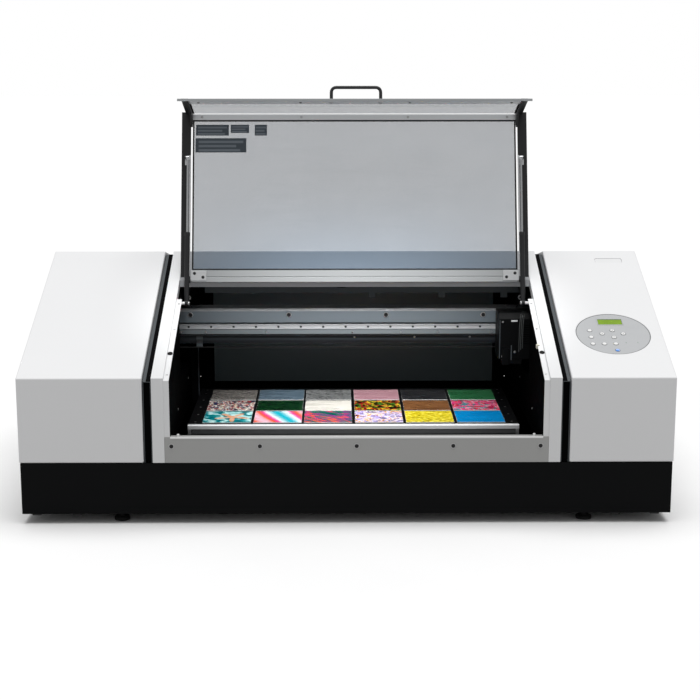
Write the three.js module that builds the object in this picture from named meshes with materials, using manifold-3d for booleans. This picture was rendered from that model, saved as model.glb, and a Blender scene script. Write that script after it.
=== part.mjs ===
// Flatbed UV printer: a low cabinet with a housing at each side, a lift-up clear cover over the print
// bay, a print carriage on a gantry beam and a table that moves front to back and up and down.
// Millimetres, +X to the right, +Y to the rear, +Z up, origin on the floor under the middle.
import * as THREE from "three";
import { mergeVertices } from "three/addons/utils/BufferGeometryUtils.js";
import Module from "manifold-3d";

const wasm = await Module();
wasm.setup();

// ---------------------------------------------------------------- driving dimensions
const WIDTH = 1560; // over both housings
const DEPTH = 955; // front face to rear face
const GAP = 0.3; // clearance that touching pieces keep

const FOOT_HEIGHT = 25;
const FOOT_RADIUS = 19;
const BASE_TOP = 151;
const BASE_INSET = 2; // the tray stands this much inside the housings
const SHEET = 2; // wall of the sheet-metal pieces

const FRONT_TOP = 358; // height of the housings' front edge
const RIDGE_Y = 562; // distance from the front face to the ridge of the roof
const RIDGE_TOP = 582.4;
const REAR_TOP = 505;

const BAY_X = 23.5; // middle of the print bay
const LEDGE_INNER = 443.5; // half widths, counted from BAY_X
const STRIP_INNER = 456.5;
const STRIP_OUTER = 485.8;
const FRAME_OUTER = 505.8;
const LEDGE_DROP = 7; // the cover's seat lies this much under the roof line
const LEDGE_REAR = 345; // the seat stops short of the hinge
const FRAME_DROP = 9;
const HOUSING_WALL = 5;

const WINDOW = { front: 380, rear: 640, bottom: 272, top: 462 }; // hole for gantry and carriage

const APRON_TOP = 215;
const GANTRY = { front: 502, rear: 566, bottom: 340, top: 436, left: -640, right: 690 };
const RAIL = { bottom: 381.5, top: 393.5 };
const PULLEY_RADIUS = 16;
const PULLEY_X = { left: -668, right: 722 };
const BELT_Z = 352;
const BELT_Y = 487;

const TABLE = { width: 839, front: 245, rear: 640, top: 186, thick: 22, centre: 18.5 };
const POST_RADIUS = 12;
const POST_X = 210;
const POST_Y = [330, 530];

const CARRIAGE = { left: 399, right: 630, front: 400, rear: 480, bottom: 318, top: 441 };

const HEAD_WIDTH = 36;
const HEAD_BOTTOM = 300; // the heads' faces, above the raised table

const PIVOT = { y: 412.7, z: 526.5 }; // the cover's hinge line
const COVER_HALF = 452.5;
const COVER_LENGTH = 445.3; // hinge line to the fold
const COVER_LEAN = 17.15; // degrees behind upright when it stands open
const COVER_FOLD = 91.4; // degrees inside the fold
const VISOR_LENGTH = 129; // fold to the lip
const STRUT_X = 435.3; // half distance between the gas springs
const STRUT_FOOT = { y: 380, z: 472 };
const STRUT_HEAD = { u: 321, n: 14 };
const STUD_X = 441.5; // half distance between the studs that the springs' heads run beside
const CYLINDER_RADIUS = 6.5;
const ROD_RADIUS = 3;
const CYLINDER_END = 186; // from the foot's pin to the cylinder's mouth
const ROD_HIDDEN = 50; // length of rod inside the cylinder when the spring is out

const PANEL = { x: 657.5, slope: 191.5, radius: 92, depth: 3 };
const BUTTON_RADIUS = 5.2;
const BUTTON_PLACES = {
  button_menu: [-56, 15],
  button_left: [-27, 0],
  button_up: [0, 15],
  button_right: [25, 0],
  button_function: [-56, -15],
  button_down: [0, -16],
  button_base: [-56, -45],
  button_pause: [-28, -45],
  button_enter: [0, -45],
  button_power: [0, -73.5],
};
const LCD = { u: 0, v: 55, width: 60, height: 24 };

const INLET = { x: 660, half: 24, bottom: 170, top: 260, deep: 30 }; // mains socket and switch module
const ROCKER = { y: 949, z: 235, tilt: 8 };

const ROOF_RISE = (RIDGE_TOP - FRONT_TOP) / RIDGE_Y;
const ROOF_ANGLE = Math.atan(ROOF_RISE);

// ---------------------------------------------------------------- finishes
const finish = (color, roughness, metalness = 0) => new THREE.MeshStandardMaterial({ color, roughness, metalness });
const WHITE = finish(0xeeeeec, 0.45);
const BLACK = finish(0x17181a, 0.4);
const DARK = finish(0x0d0e0f, 0.6);
const SLATE = finish(0x4c545a, 0.45, 0.3);
const GREY = finish(0x8c8d8b, 0.5, 0.4);
const SILVER = finish(0xc9cccd, 0.3, 0.9);
const STEEL = finish(0xb4b7ba, 0.25, 1);
const RUBBER = finish(0x151515, 0.85);
const PANEL_GREY = finish(0xbfc1c3, 0.4, 0.2);
const KEY_WHITE = finish(0xf6f6f4, 0.5);
const LCD_GREEN = finish(0xa4d21e, 0.25);
const SMOKED = finish(0xa9b2ba, 0.08);

// ---------------------------------------------------------------- shapes
/** A box between two corners. */
function box(x0, x1, y0, y1, z0, z1) {
  const made = new THREE.BoxGeometry(x1 - x0, y1 - y0, z1 - z0);
  return made.translate((x0 + x1) / 2, (y0 + y1) / 2, (z0 + z1) / 2);
}

/** A side outline, a list of [y, z] points or a THREE.Shape, pushed along X from x0 to x1. */
function slab(outline, x0, x1) {
  const shape = outline.isShape ? outline : new THREE.Shape(outline.map(([y, z]) => new THREE.Vector2(y, z)));
  const made = new THREE.ExtrudeGeometry(shape, { depth: x1 - x0, bevelEnabled: false, curveSegments: 6 });
  const turn = new THREE.Matrix4().set(0, 0, 1, x0, 1, 0, 0, 0, 0, 1, 0, 0, 0, 0, 0, 1);
  return made.applyMatrix4(turn);
}

/** A cylinder along a direction, from one point to the next. */
function rod(from, to, radius, sides = 20) {
  const a = new THREE.Vector3(...from);
  const b = new THREE.Vector3(...to);
  const made = new THREE.CylinderGeometry(radius, radius, a.distanceTo(b), sides);
  const along = b.clone().sub(a).normalize();
  made.applyQuaternion(new THREE.Quaternion().setFromUnitVectors(new THREE.Vector3(0, 1, 0), along));
  return made.translate(...a.add(b).multiplyScalar(0.5).toArray());
}

/** The geometry as a manifold solid. */
function solid(geometry) {
  const bare = geometry.clone();
  bare.deleteAttribute("normal");
  bare.deleteAttribute("uv");
  const merged = mergeVertices(bare, 1e-3);
  const vertProperties = new Float32Array(merged.attributes.position.array);
  const triVerts = new Uint32Array(merged.index.array);
  return new wasm.Manifold(new wasm.Mesh({ numProp: 3, vertProperties, triVerts }));
}

/** The manifold solid as a flat-shaded geometry. */
function geometryOf(manifold) {
  const { vertProperties, triVerts } = manifold.getMesh();
  const made = new THREE.BufferGeometry();
  made.setAttribute("position", new THREE.BufferAttribute(new Float32Array(vertProperties), 3));
  made.setIndex(new THREE.BufferAttribute(new Uint32Array(triVerts), 1));
  const flat = made.toNonIndexed();
  flat.computeVertexNormals();
  return flat;
}

/** Several geometries joined into one. */
function join(...parts) {
  return geometryOf(parts.map(solid).reduce((whole, part) => whole.add(part)));
}

/** A geometry with the others cut out of it. */
function cut(stock, ...tools) {
  return geometryOf(tools.map(solid).reduce((left, tool) => left.subtract(tool), solid(stock)));
}

const printer = new THREE.Group();
printer.position.y = -DEPTH / 2; // lengths along Y below are counted from the front face

/** Adds one named sub-part. */
function add(name, geometry, material, parent = printer) {
  const mesh = new THREE.Mesh(geometry, material);
  mesh.name = name;
  parent.add(mesh);
  return mesh;
}

// ---------------------------------------------------------------- cabinet
/** The cabinet's side outline, lowered by drop, with its walls moved in by wall. */
function cabinetOutline(drop = 0, wall = 0, bottom = BASE_TOP + 1) {
  const slant = wall / Math.cos(ROOF_ANGLE);
  const front = wall;
  const roof = (y) => FRONT_TOP - drop - slant + ROOF_RISE * y;
  const rearTop = REAR_TOP - drop - slant;
  return [
    [front, bottom],
    [DEPTH - wall, bottom],
    [DEPTH - wall, rearTop],
    [RIDGE_Y, roof(RIDGE_Y)],
    [front, roof(front)],
  ];
}

/** A hollow slice of the cabinet between x0 and x1, open underneath. */
function cabinetShell(x0, x1, drop, wall) {
  const hollow = slab(cabinetOutline(drop, wall, BASE_TOP - 5), x0 + wall, x1 - wall);
  return cut(slab(cabinetOutline(drop), x0, x1), hollow);
}

/** The hole in the side walls that the gantry and the carriage pass through. */
function gantryWindow(x0, x1) {
  return box(x0, x1, WINDOW.front, WINDOW.rear, WINDOW.bottom, WINDOW.top);
}

/** A point on the roof: x, distance up the slope from the front edge, height above it. */
function onRoof(x, along, up = 0) {
  const c = Math.cos(ROOF_ANGLE);
  const s = Math.sin(ROOF_ANGLE);
  return [x, along * c - up * s, FRONT_TOP + along * s + up * c];
}

/** A box that lies on the roof plane, given by its middle, its size and how deep it reaches. */
function roofBox(x, along, width, length, low, high) {
  const made = new THREE.BoxGeometry(width, length, high - low).translate(0, 0, (low + high) / 2);
  return made.rotateX(ROOF_ANGLE).translate(...onRoof(x, along));
}

/** A disc square to the roof plane. */
function roofDisc(x, along, radius, low, high, sides) {
  return rod(onRoof(x, along, low), onRoof(x, along, high), radius, sides);
}

function addBase() {
  const half = WIDTH / 2 - BASE_INSET;
  const front = BASE_INSET;
  const rear = DEPTH - BASE_INSET;
  const outer = box(-half, half, front, rear, FOOT_HEIGHT, BASE_TOP);
  const inner = box(-half + SHEET, half - SHEET, front + SHEET, rear - SHEET, FOOT_HEIGHT + SHEET, BASE_TOP + 1);
  add("base_tray", cut(outer, inner), BLACK);

  const profile = [
    [0, 0],
    [FOOT_RADIUS - 2, 0],
    [FOOT_RADIUS, 2],
    [FOOT_RADIUS, 8],
    [FOOT_RADIUS - 5, 11],
    [8, 11],
    [8, FOOT_HEIGHT - GAP],
    [0, FOOT_HEIGHT - GAP],
  ].map(([r, z]) => new THREE.Vector2(r, z));
  const foot = new THREE.LatheGeometry(profile, 24).rotateX(Math.PI / 2);
  for (const [side, x] of [["left", -544], ["right", 575]]) {
    for (const [end, y] of [["front", 40], ["rear", DEPTH - 60]]) {
      add(`foot_${end}_${side}`, foot.clone().translate(x, y, 0), RUBBER);
    }
  }
}

function addHousings() {
  const leftInner = BAY_X - FRAME_OUTER - 1.5;
  const left = cut(
    cabinetShell(-WIDTH / 2, leftInner, 0, HOUSING_WALL),
    gantryWindow(leftInner - HOUSING_WALL - 1, leftInner + 1),
  );
  add("left_housing", left, WHITE);

  const rightInner = BAY_X + FRAME_OUTER + 1.5;
  const right = cut(
    cabinetShell(rightInner, WIDTH / 2, 0, HOUSING_WALL),
    gantryWindow(rightInner - 1, rightInner + HOUSING_WALL + 1),
    roofDisc(PANEL.x, PANEL.slope, PANEL.radius, -PANEL.depth, 2, 64),
    roofBox(700.5, 553.7, 72, 24, -3, 2),
    box(INLET.x - INLET.half, INLET.x + INLET.half, DEPTH - 10, DEPTH + 1, INLET.bottom, INLET.top),
  );
  add("right_housing", right, WHITE);
}

function addSideWalls() {
  for (const [side, sign] of [["left", -1], ["right", 1]]) {
    const at = (half) => BAY_X + sign * half;
    const span = (a, b) => [Math.min(at(a), at(b)), Math.max(at(a), at(b))];
    const [stripLow, stripHigh] = span(STRIP_INNER + GAP, STRIP_OUTER - GAP);
    const [ledgeLow, ledgeHigh] = span(LEDGE_INNER, STRIP_INNER + GAP + 0.5);
    const roofAt = (y) => FRONT_TOP - LEDGE_DROP + ROOF_RISE * y;
    const ledgeFront = SHEET;
    const ledge = slab(
      [
        [ledgeFront, BASE_TOP + 1],
        [ledgeFront + SHEET, BASE_TOP + 1],
        [ledgeFront + SHEET, roofAt(ledgeFront) - SHEET],
        [LEDGE_REAR, roofAt(LEDGE_REAR) - SHEET],
        [LEDGE_REAR, roofAt(LEDGE_REAR)],
        [ledgeFront, roofAt(ledgeFront)],
      ],
      ledgeLow,
      ledgeHigh,
    );
    const pin = rod(
      [at(STRIP_INNER + GAP + 0.5), STRUT_FOOT.y, STRUT_FOOT.z],
      [at(STRUT_X - 6), STRUT_FOOT.y, STRUT_FOOT.z],
      4,
      16,
    );
    const wall = cut(cabinetShell(stripLow, stripHigh, 0, SHEET), gantryWindow(stripLow - 1, stripHigh + 1));
    add(`${side}_side_panel`, join(wall, ledge, pin), WHITE);

    const [frameLow, frameHigh] = span(STRIP_OUTER + GAP, FRAME_OUTER - GAP);
    const frame = cut(
      cabinetShell(frameLow, frameHigh, FRAME_DROP, SHEET),
      box(frameLow - 1, frameHigh + 1, -1, SHEET, BASE_TOP, FRONT_TOP + 10),
      gantryWindow(frameLow - 1, frameHigh + 1),
      box(frameLow + SHEET, frameHigh - SHEET, SHEET * 2, DEPTH - SHEET, BASE_TOP, FRONT_TOP - 40),
    );
    add(`${side}_side_frame`, frame, SLATE);
  }
}

function addCentreCovers() {
  const low = BAY_X - STRIP_INNER;
  const high = BAY_X + STRIP_INNER;
  const apron = join(
    box(low, high, 0, 2, BASE_TOP + 1, APRON_TOP),
    box(BAY_X - LEDGE_INNER + GAP, BAY_X + LEDGE_INNER - GAP, 1, 18, APRON_TOP - 2, APRON_TOP),
  );
  add("front_apron", apron, GREY);

  const roof = (y) => FRONT_TOP + ROOF_RISE * y;
  const deckFront = 421;
  const deck = slab(
    [
      [deckFront, roof(deckFront) - 18],
      [deckFront + SHEET, roof(deckFront) - 18],
      [deckFront + SHEET, roof(deckFront) - SHEET],
      [RIDGE_Y, RIDGE_TOP - SHEET],
      [DEPTH - SHEET, REAR_TOP - SHEET],
      [DEPTH - SHEET, REAR_TOP],
      [RIDGE_Y, RIDGE_TOP],
      [deckFront, roof(deckFront)],
    ],
    low,
    high,
  );
  add("rear_deck", deck, WHITE);

  const apronOfDeck = slab(
    [
      [478, 483],
      [481, 483],
      [481, roof(478) - SHEET - 2],
      [478, roof(478) - SHEET - 2],
    ],
    low + 60,
    high - 14,
  );
  const tabs = [70, 255, 420].map((x) => box(x - 9, x + 9, 478, 481, 470, 490));
  add("deck_stiffener", join(apronOfDeck, ...tabs), SLATE);

  add("back_panel", box(low, high, DEPTH - SHEET, DEPTH, BASE_TOP + 1, REAR_TOP - 12), BLACK);
  add("bay_rear_wall", box(-382, 431, 850, 853, 160, 470), SLATE);
}

// ---------------------------------------------------------------- gantry and carriage
function addGantry() {
  const { front, rear, bottom, top, left, right } = GANTRY;
  const beam = slab(
    [
      [front + 12, bottom],
      [rear, bottom],
      [rear, top],
      [front + 5, top],
      [front, top - 6],
      [front, 399],
      [front + 12, 394.5],
      [front + 12, RAIL.bottom - 1],
      [front, RAIL.bottom - 1],
      [front, 364],
      [front + 12, 362],
    ],
    left,
    right,
  );
  add("gantry_beam", beam, SLATE);
  const rail = box(left + 20, right - 20, front - 3, front + 12 - GAP, RAIL.bottom, RAIL.top);
  add("linear_rail", rail, STEEL);

  const belt = (radius) => {
    const shape = new THREE.Shape();
    shape.absarc(PULLEY_X.right, BELT_Z, radius, -Math.PI / 2, Math.PI / 2, false);
    shape.absarc(PULLEY_X.left, BELT_Z, radius, Math.PI / 2, (3 * Math.PI) / 2, false);
    return shape;
  };
  const outline = belt(PULLEY_RADIUS + 1.8);
  outline.holes.push(belt(PULLEY_RADIUS + GAP));
  const loop = new THREE.ExtrudeGeometry(outline, { depth: 9, bevelEnabled: false, curveSegments: 10 });
  add("drive_belt", loop.rotateX(Math.PI / 2).translate(0, BELT_Y + 4.5, 0), RUBBER);

  for (const [name, x] of [["drive_pulley", PULLEY_X.right], ["idler_pulley", PULLEY_X.left]]) {
    const wheel = rod([x, BELT_Y - 4.5, BELT_Z], [x, BELT_Y + 4.5, BELT_Z], PULLEY_RADIUS, 24);
    const flange = rod([x, BELT_Y + 5, BELT_Z], [x, BELT_Y + 6.5, BELT_Z], PULLEY_RADIUS + 4, 24);
    const hub = rod([x, BELT_Y + 4, BELT_Z], [x, BELT_Y + 9, BELT_Z], 6, 16);
    add(name, cut(join(wheel, hub, flange), rod([x, BELT_Y - 9, BELT_Z], [x, BELT_Y + 12, BELT_Z], 3.1, 16)), STEEL);
  }
  const motorFront = GANTRY.front - 4;
  const motor = join(
    box(PULLEY_X.right - 28, PULLEY_X.right + 28, motorFront, motorFront + 90, BELT_Z - 28, BELT_Z + 28),
    rod([PULLEY_X.right, BELT_Y - 6, BELT_Z], [PULLEY_X.right, motorFront + 1, BELT_Z], 3, 16),
  );
  add("drive_motor", motor, BLACK);
  const bracket = join(
    box(PULLEY_X.left - 22, GANTRY.left - GAP, motorFront, GANTRY.rear, BELT_Z - 26, BELT_Z + 26),
    rod([PULLEY_X.left, BELT_Y - 6, BELT_Z], [PULLEY_X.left, motorFront + 1, BELT_Z], 3, 16),
  );
  add("idler_bracket", bracket, GREY);
}

function addCarriage() {
  const { left, right, front, rear, bottom, top } = CARRIAGE;
  const runner = join(
    box(left + 12, right - 12, rear + 1, GANTRY.front - 4, 398, top - 4),
    box(left + 30, right - 30, rear + 1, GANTRY.front - 3.6, RAIL.bottom - 8, 400),
  );
  add("carriage_frame", runner, DARK);
  const cover = cut(
    box(left, right, front, rear, bottom, top),
    box(left + 2, right - 2, front + 2, rear - 2, bottom - 1, top - 2),
  );
  add("carriage_cover", cover, BLACK);
  const heads = { print_head_left: right - 85, print_head_right: right - 43 };
  const headSpan = (x) => [x, x + HEAD_WIDTH, front + 10, rear - 12];
  for (const [name, x] of Object.entries(heads)) add(name, box(...headSpan(x), HEAD_BOTTOM, 400), STEEL);
  add("uv_lamp", box(left + 14, left + 64, front + 14, rear - 16, HEAD_BOTTOM + 3, 396), SILVER);
  const caps = Object.values(heads).map((x) => box(...headSpan(x), HEAD_BOTTOM - 14, HEAD_BOTTOM));
  const station = box(right - 90, right + 2, front + 4, rear - 6, BASE_TOP + 4, HEAD_BOTTOM - 6);
  add("capping_station", cut(station, ...caps), DARK);
}

// ---------------------------------------------------------------- table
function addTable() {
  for (const [side, x] of [["left", TABLE.centre - 260], ["right", TABLE.centre + 260]]) {
    const foot = box(x - 30, x + 30, 60, 890, FOOT_HEIGHT + SHEET + GAP, FOOT_HEIGHT + SHEET + 6);
    const rail = box(x - 10, x + 10, 60, 890, FOOT_HEIGHT + SHEET + 5, FOOT_HEIGHT + SHEET + 20);
    add(`table_rail_${side}`, join(foot, rail), STEEL);
  }
  const saddleBottom = FOOT_HEIGHT + SHEET + 22;
  const low = TABLE.centre - 300;
  const high = TABLE.centre + 300;
  const body = cut(
    box(low, high, 290, 570, saddleBottom, 146),
    box(low + 6, high - 6, 296, 564, saddleBottom - 1, 140),
  );
  const posts = [-POST_X, POST_X].flatMap((x) => POST_Y.map((y) => [TABLE.centre + x, y]));
  const bosses = posts.map(([x, y]) => rod([x, y, saddleBottom], [x, y, 145], POST_RADIUS + 9, 24));
  const bores = posts.map(([x, y]) => rod([x, y, saddleBottom - 2], [x, y, 150], POST_RADIUS + 0.8, 24));
  add("table_saddle", cut(join(body, ...bosses), ...bores), GREY);

  const x0 = TABLE.centre - TABLE.width / 2;
  const x1 = TABLE.centre + TABLE.width / 2;
  const under = TABLE.top - TABLE.thick;
  const plate = box(x0, x1, TABLE.front, TABLE.rear, under, TABLE.top);
  const guides = posts.map(([x, y]) => rod([x, y, saddleBottom + 1], [x, y, under + 1], POST_RADIUS, 24));
  add("table_plate", join(plate, ...guides), DARK);
  add("table_front_bar", box(x0, x1, TABLE.front - 13, TABLE.front - GAP, 160, 184), SILVER);
}

// ---------------------------------------------------------------- control panel and rear fittings
function addControls() {
  const at = ([u, v]) => [PANEL.x + u, PANEL.slope + v];
  const floor = -PANEL.depth + GAP;
  const holes = Object.values(BUTTON_PLACES).map((place) =>
    roofDisc(...at(place), BUTTON_RADIUS + 0.4, floor + 0.9, 2, 20),
  );
  const lcdPlace = at([LCD.u, LCD.v]);
  const disc = cut(
    roofDisc(PANEL.x, PANEL.slope, PANEL.radius - GAP, floor, -0.4, 64),
    ...holes,
    roofBox(...lcdPlace, LCD.width, LCD.height, floor + 0.9, 2),
  );
  add("control_panel", disc, PANEL_GREY);
  add("lcd_window", roofBox(...lcdPlace, LCD.width - 0.8, LCD.height - 0.8, floor + 1.2, -0.9), LCD_GREEN);
  for (const [name, place] of Object.entries(BUTTON_PLACES)) {
    const low = floor + 0.9 + 0.3 + 0.8;
    add(name, roofDisc(...at(place), BUTTON_RADIUS, low, 1.0, 20), KEY_WHITE);
  }
}

function addRearFittings() {
  const { x, bottom, top, half, deep } = INLET;
  const rear = DEPTH - GAP;
  const body = box(x - half + GAP, x + half - GAP, DEPTH - deep, rear, bottom + GAP, top - GAP);
  const socket = box(x - 12, x + 12, DEPTH - deep + 8, DEPTH, bottom + 6, bottom + 34);
  const well = box(x - 10, x + 10, DEPTH - deep + 10, DEPTH, ROCKER.z - 17, ROCKER.z + 17);
  add("power_inlet", cut(body, socket, well), BLACK);

  const face = [[-7, -7], [0, -14], [4, -14], [1.5, 0], [4, 14], [0, 14], [-7, 7]];
  const tilt = THREE.MathUtils.degToRad(ROCKER.tilt);
  const turned = face.map(([y, z]) => [
    ROCKER.y + y * Math.cos(tilt) - z * Math.sin(tilt),
    ROCKER.z + y * Math.sin(tilt) + z * Math.cos(tilt),
  ]);
  add("main_switch", slab(turned, x - 9, x + 9), BLACK);
}

// ---------------------------------------------------------------- cover
/** The cover's own frame: u runs from the hinge to the fold, n points into the bay. */
const LEAN = THREE.MathUtils.degToRad(COVER_LEAN);
function coverPoint(u, n) {
  return [
    PIVOT.y + u * Math.sin(LEAN) - n * Math.cos(LEAN),
    PIVOT.z + u * Math.cos(LEAN) + n * Math.sin(LEAN),
  ];
}

/** A side outline given in the cover's frame. */
function coverSlab(outline, x0, x1) {
  return slab(outline.map(([u, n]) => coverPoint(u, n)), x0, x1);
}

/** A point on the visor: distance from the fold towards the lip, and depth under its outer face. */
function visorPoint(along, depth) {
  const angle = THREE.MathUtils.degToRad(COVER_FOLD);
  const u = COVER_LENGTH - along * Math.cos(angle) - depth * Math.sin(angle);
  const n = along * Math.sin(angle) - depth * Math.cos(angle);
  return [u, n];
}

function addCover() {
  const low = BAY_X - COVER_HALF;
  const high = BAY_X + COVER_HALF;
  const skin = 4;
  for (const [side, sign] of [["left", -1], ["right", 1]]) {
    const span = (a, b) => [BAY_X + sign * a, BAY_X + sign * b].sort((p, q) => p - q);
    const flange = coverSlab([[8, 1], [COVER_LENGTH, 1], [COVER_LENGTH, 5], [8, 5]], ...span(428.3, COVER_HALF));
    const cheek = coverSlab(
      [
        [COVER_LENGTH - 24, 1],
        [COVER_LENGTH, 1],
        visorPoint(VISOR_LENGTH, 0),
        visorPoint(VISOR_LENGTH, 10),
        visorPoint(34, 16),
        [COVER_LENGTH - 40, 5],
      ],
      ...span(424, 428.3 + 1),
    );
    const edge = coverSlab(
      [visorPoint(1, 0), visorPoint(VISOR_LENGTH, 0), visorPoint(VISOR_LENGTH, 4), visorPoint(4, 4)],
      ...span(428.3, 442),
    );
    const knuckle = rod(
      [BAY_X + sign * 428.3, PIVOT.y, PIVOT.z],
      [BAY_X + sign * 441, PIVOT.y, PIVOT.z],
      6,
      20,
    );
    const link = coverSlab([[0, -2], [20, 1], [20, 5], [0, 4]], ...span(428.3, 441));
    const stud = rod(
      [BAY_X + sign * STUD_X, ...coverPoint(STRUT_HEAD.u, 3)],
      [BAY_X + sign * STUD_X, ...coverPoint(STRUT_HEAD.u, STRUT_HEAD.n + 4)],
      1.8,
      16,
    );
    add(`cover_${side}_arm`, join(flange, cheek, edge, knuckle, link, stud), BLACK);
  }

  const inner = [BAY_X - 424 + GAP, BAY_X + 424 - GAP];
  const top = coverSlab([[26, 1], [COVER_LENGTH - 5, 1], [COVER_LENGTH - 5, skin], [26, skin]], ...inner);
  add("cover_top_window", top, SMOKED);
  const visor = coverSlab(
    [visorPoint(0, 1), visorPoint(VISOR_LENGTH, 1), visorPoint(VISOR_LENGTH, skin), visorPoint(6, skin)],
    ...inner,
  );
  add("cover_front_window", visor, SMOKED);
  const foldTrim = coverSlab(
    [
      [COVER_LENGTH - 18, skin + GAP],
      [COVER_LENGTH - 6, skin + GAP],
      [COVER_LENGTH - 6, skin + 2.5],
      [COVER_LENGTH - 18, skin + 2.5],
    ],
    ...inner,
  );
  add("cover_fold_trim", foldTrim, SILVER);
  const lipTrim = coverSlab(
    [
      visorPoint(VISOR_LENGTH - 27, skin + GAP),
      visorPoint(VISOR_LENGTH - 1, skin + GAP),
      visorPoint(VISOR_LENGTH - 1, skin + 2.5),
      visorPoint(VISOR_LENGTH - 27, skin + 2.5),
    ],
    ...inner,
  );
  add("cover_lip_trim", lipTrim, SILVER);
  const bar = coverSlab([[8, 0.5], [25.5, 0.5], [25.5, 7], [8, 7]], ...inner);
  add("cover_hinge_bar", bar, SILVER);
  addHandle(low, high);
}

function addHandle(low, high) {
  const middle = (low + high) / 2 + 3;
  const half = 63;
  const bend = 14;
  const stand = 34;
  const foot = VISOR_LENGTH - 14;
  const at = (x, height) => {
    const [y, z] = coverPoint(...visorPoint(foot, 1 - GAP - height));
    return new THREE.Vector3(middle + x, y, z);
  };
  const path = new THREE.CurvePath();
  path.add(new THREE.LineCurve3(at(-half, 0), at(-half, stand - bend)));
  path.add(new THREE.QuadraticBezierCurve3(at(-half, stand - bend), at(-half, stand), at(-half + bend, stand)));
  path.add(new THREE.LineCurve3(at(-half + bend, stand), at(half - bend, stand)));
  path.add(new THREE.QuadraticBezierCurve3(at(half - bend, stand), at(half, stand), at(half, stand - bend)));
  path.add(new THREE.LineCurve3(at(half, stand - bend), at(half, 0)));
  const section = new THREE.Shape().absarc(0, 0, 4.2, 0, 2 * Math.PI);
  const bow = new THREE.ExtrudeGeometry(section, { steps: 44, extrudePath: path, curveSegments: 6 });
  add("cover_handle", bow, BLACK);
}

function addGasSprings() {
  const foot = new THREE.Vector2(STRUT_FOOT.y, STRUT_FOOT.z);
  const head = new THREE.Vector2(...coverPoint(STRUT_HEAD.u, STRUT_HEAD.n));
  const along = head.clone().sub(foot).normalize();
  const at = (x, distance) => {
    const p = foot.clone().addScaledVector(along, distance);
    return [x, p.x, p.y];
  };
  const length = head.distanceTo(foot);
  for (const [side, sign] of [["left", -1], ["right", 1]]) {
    const x = BAY_X + sign * STRUT_X;
    const eye = rod([x - 4, foot.x, foot.y], [x + 4, foot.x, foot.y], 7.5, 20);
    const tube = rod(at(x, 5), at(x, CYLINDER_END), CYLINDER_RADIUS, 20);
    const pinHole = rod([x - 9, foot.x, foot.y], [x + 9, foot.x, foot.y], 4.3, 20);
    const bore = rod(at(x, 18), at(x, CYLINDER_END + 2), ROD_RADIUS + 0.4, 16);
    add(`gas_spring_${side}_cylinder`, cut(join(eye, tube), pinHole, bore), BLACK);
    const shaft = rod(at(x, CYLINDER_END - ROD_HIDDEN), at(x, length - 4), ROD_RADIUS, 16);
    const clevis = rod([x - 4, head.x, head.y], [x + 4, head.x, head.y], 6, 20);
    add(`gas_spring_${side}_rod`, join(shaft, clevis), STEEL);
  }
}

addBase();
addHousings();
addSideWalls();
addCentreCovers();
addGantry();
addCarriage();
addTable();
addControls();
addRearFittings();
addCover();
addGasSprings();

export default printer;
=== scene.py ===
"""Flatbed UV printer: the looks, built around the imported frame."""

from __future__ import annotations

import logging
import math
import sys
from collections.abc import Callable, Iterable, Sequence
from dataclasses import dataclass, field
from enum import Enum
from functools import cache

import bpy
from mathutils import Matrix, Vector

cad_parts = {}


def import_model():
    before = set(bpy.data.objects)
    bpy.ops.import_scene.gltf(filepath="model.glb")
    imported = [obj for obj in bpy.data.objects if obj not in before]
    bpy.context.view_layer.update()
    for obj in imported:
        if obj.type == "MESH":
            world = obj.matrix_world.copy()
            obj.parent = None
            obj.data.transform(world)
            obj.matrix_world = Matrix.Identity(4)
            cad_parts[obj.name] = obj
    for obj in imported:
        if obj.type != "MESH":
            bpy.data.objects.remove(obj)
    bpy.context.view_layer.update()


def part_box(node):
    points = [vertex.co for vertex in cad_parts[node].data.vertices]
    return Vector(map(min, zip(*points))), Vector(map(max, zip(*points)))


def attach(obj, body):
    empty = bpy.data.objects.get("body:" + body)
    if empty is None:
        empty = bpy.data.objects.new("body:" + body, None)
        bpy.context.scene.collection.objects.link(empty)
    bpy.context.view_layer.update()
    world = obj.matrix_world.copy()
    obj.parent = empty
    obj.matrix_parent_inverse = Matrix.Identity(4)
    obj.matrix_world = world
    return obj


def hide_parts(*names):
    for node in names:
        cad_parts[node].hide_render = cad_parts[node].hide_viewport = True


LOG = logging.getLogger("printer")
MM = 0.001
HALF_DEPTH = 477.5  # the front face stands this far, in mm, in front of the frame's origin
BAY_X = 23.5  # middle of the print bay, mm
ROOF_FRONT = 358.0  # height of the roof's front edge, mm
RIDGE_Y = 562.0  # the ridge's distance behind the front face, mm
RIDGE_Z = 582.4  # height of the ridge, mm
REAR_Z = 505.0  # height of the roof's rear edge, mm
DEPTH = 955.0
GANTRY_HOLE = (380.0, 640.0, 272.0, 462.0)  # y and z spans of the opening in the walls for the gantry, mm
ROOF_RISE = (RIDGE_Z - ROOF_FRONT) / RIDGE_Y
ROOF_ANGLE = math.atan(ROOF_RISE)
SHARP_EDGE = math.radians(35)  # edges sharper than this are rounded
SMOOTH_ANGLE = math.radians(26)  # faces that meet at less than this shade as one
FLAT_ANGLE = math.radians(1.5)  # CAD triangles that meet at less than this become one face
DOUBLES = 1e-6  # vertices of a new piece closer than this, in m, are merged
CAD_DOUBLES = 1e-5  # the same for a CAD node's loose triangles

Colour = tuple[float, float, float]
Point = tuple[float, float, float]
Pair = tuple[float, float]
Piece = bpy.types.Object
Material = bpy.types.Material
Tree = bpy.types.NodeTree
Node = bpy.types.Node
Socket = bpy.types.NodeSocket


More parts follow.
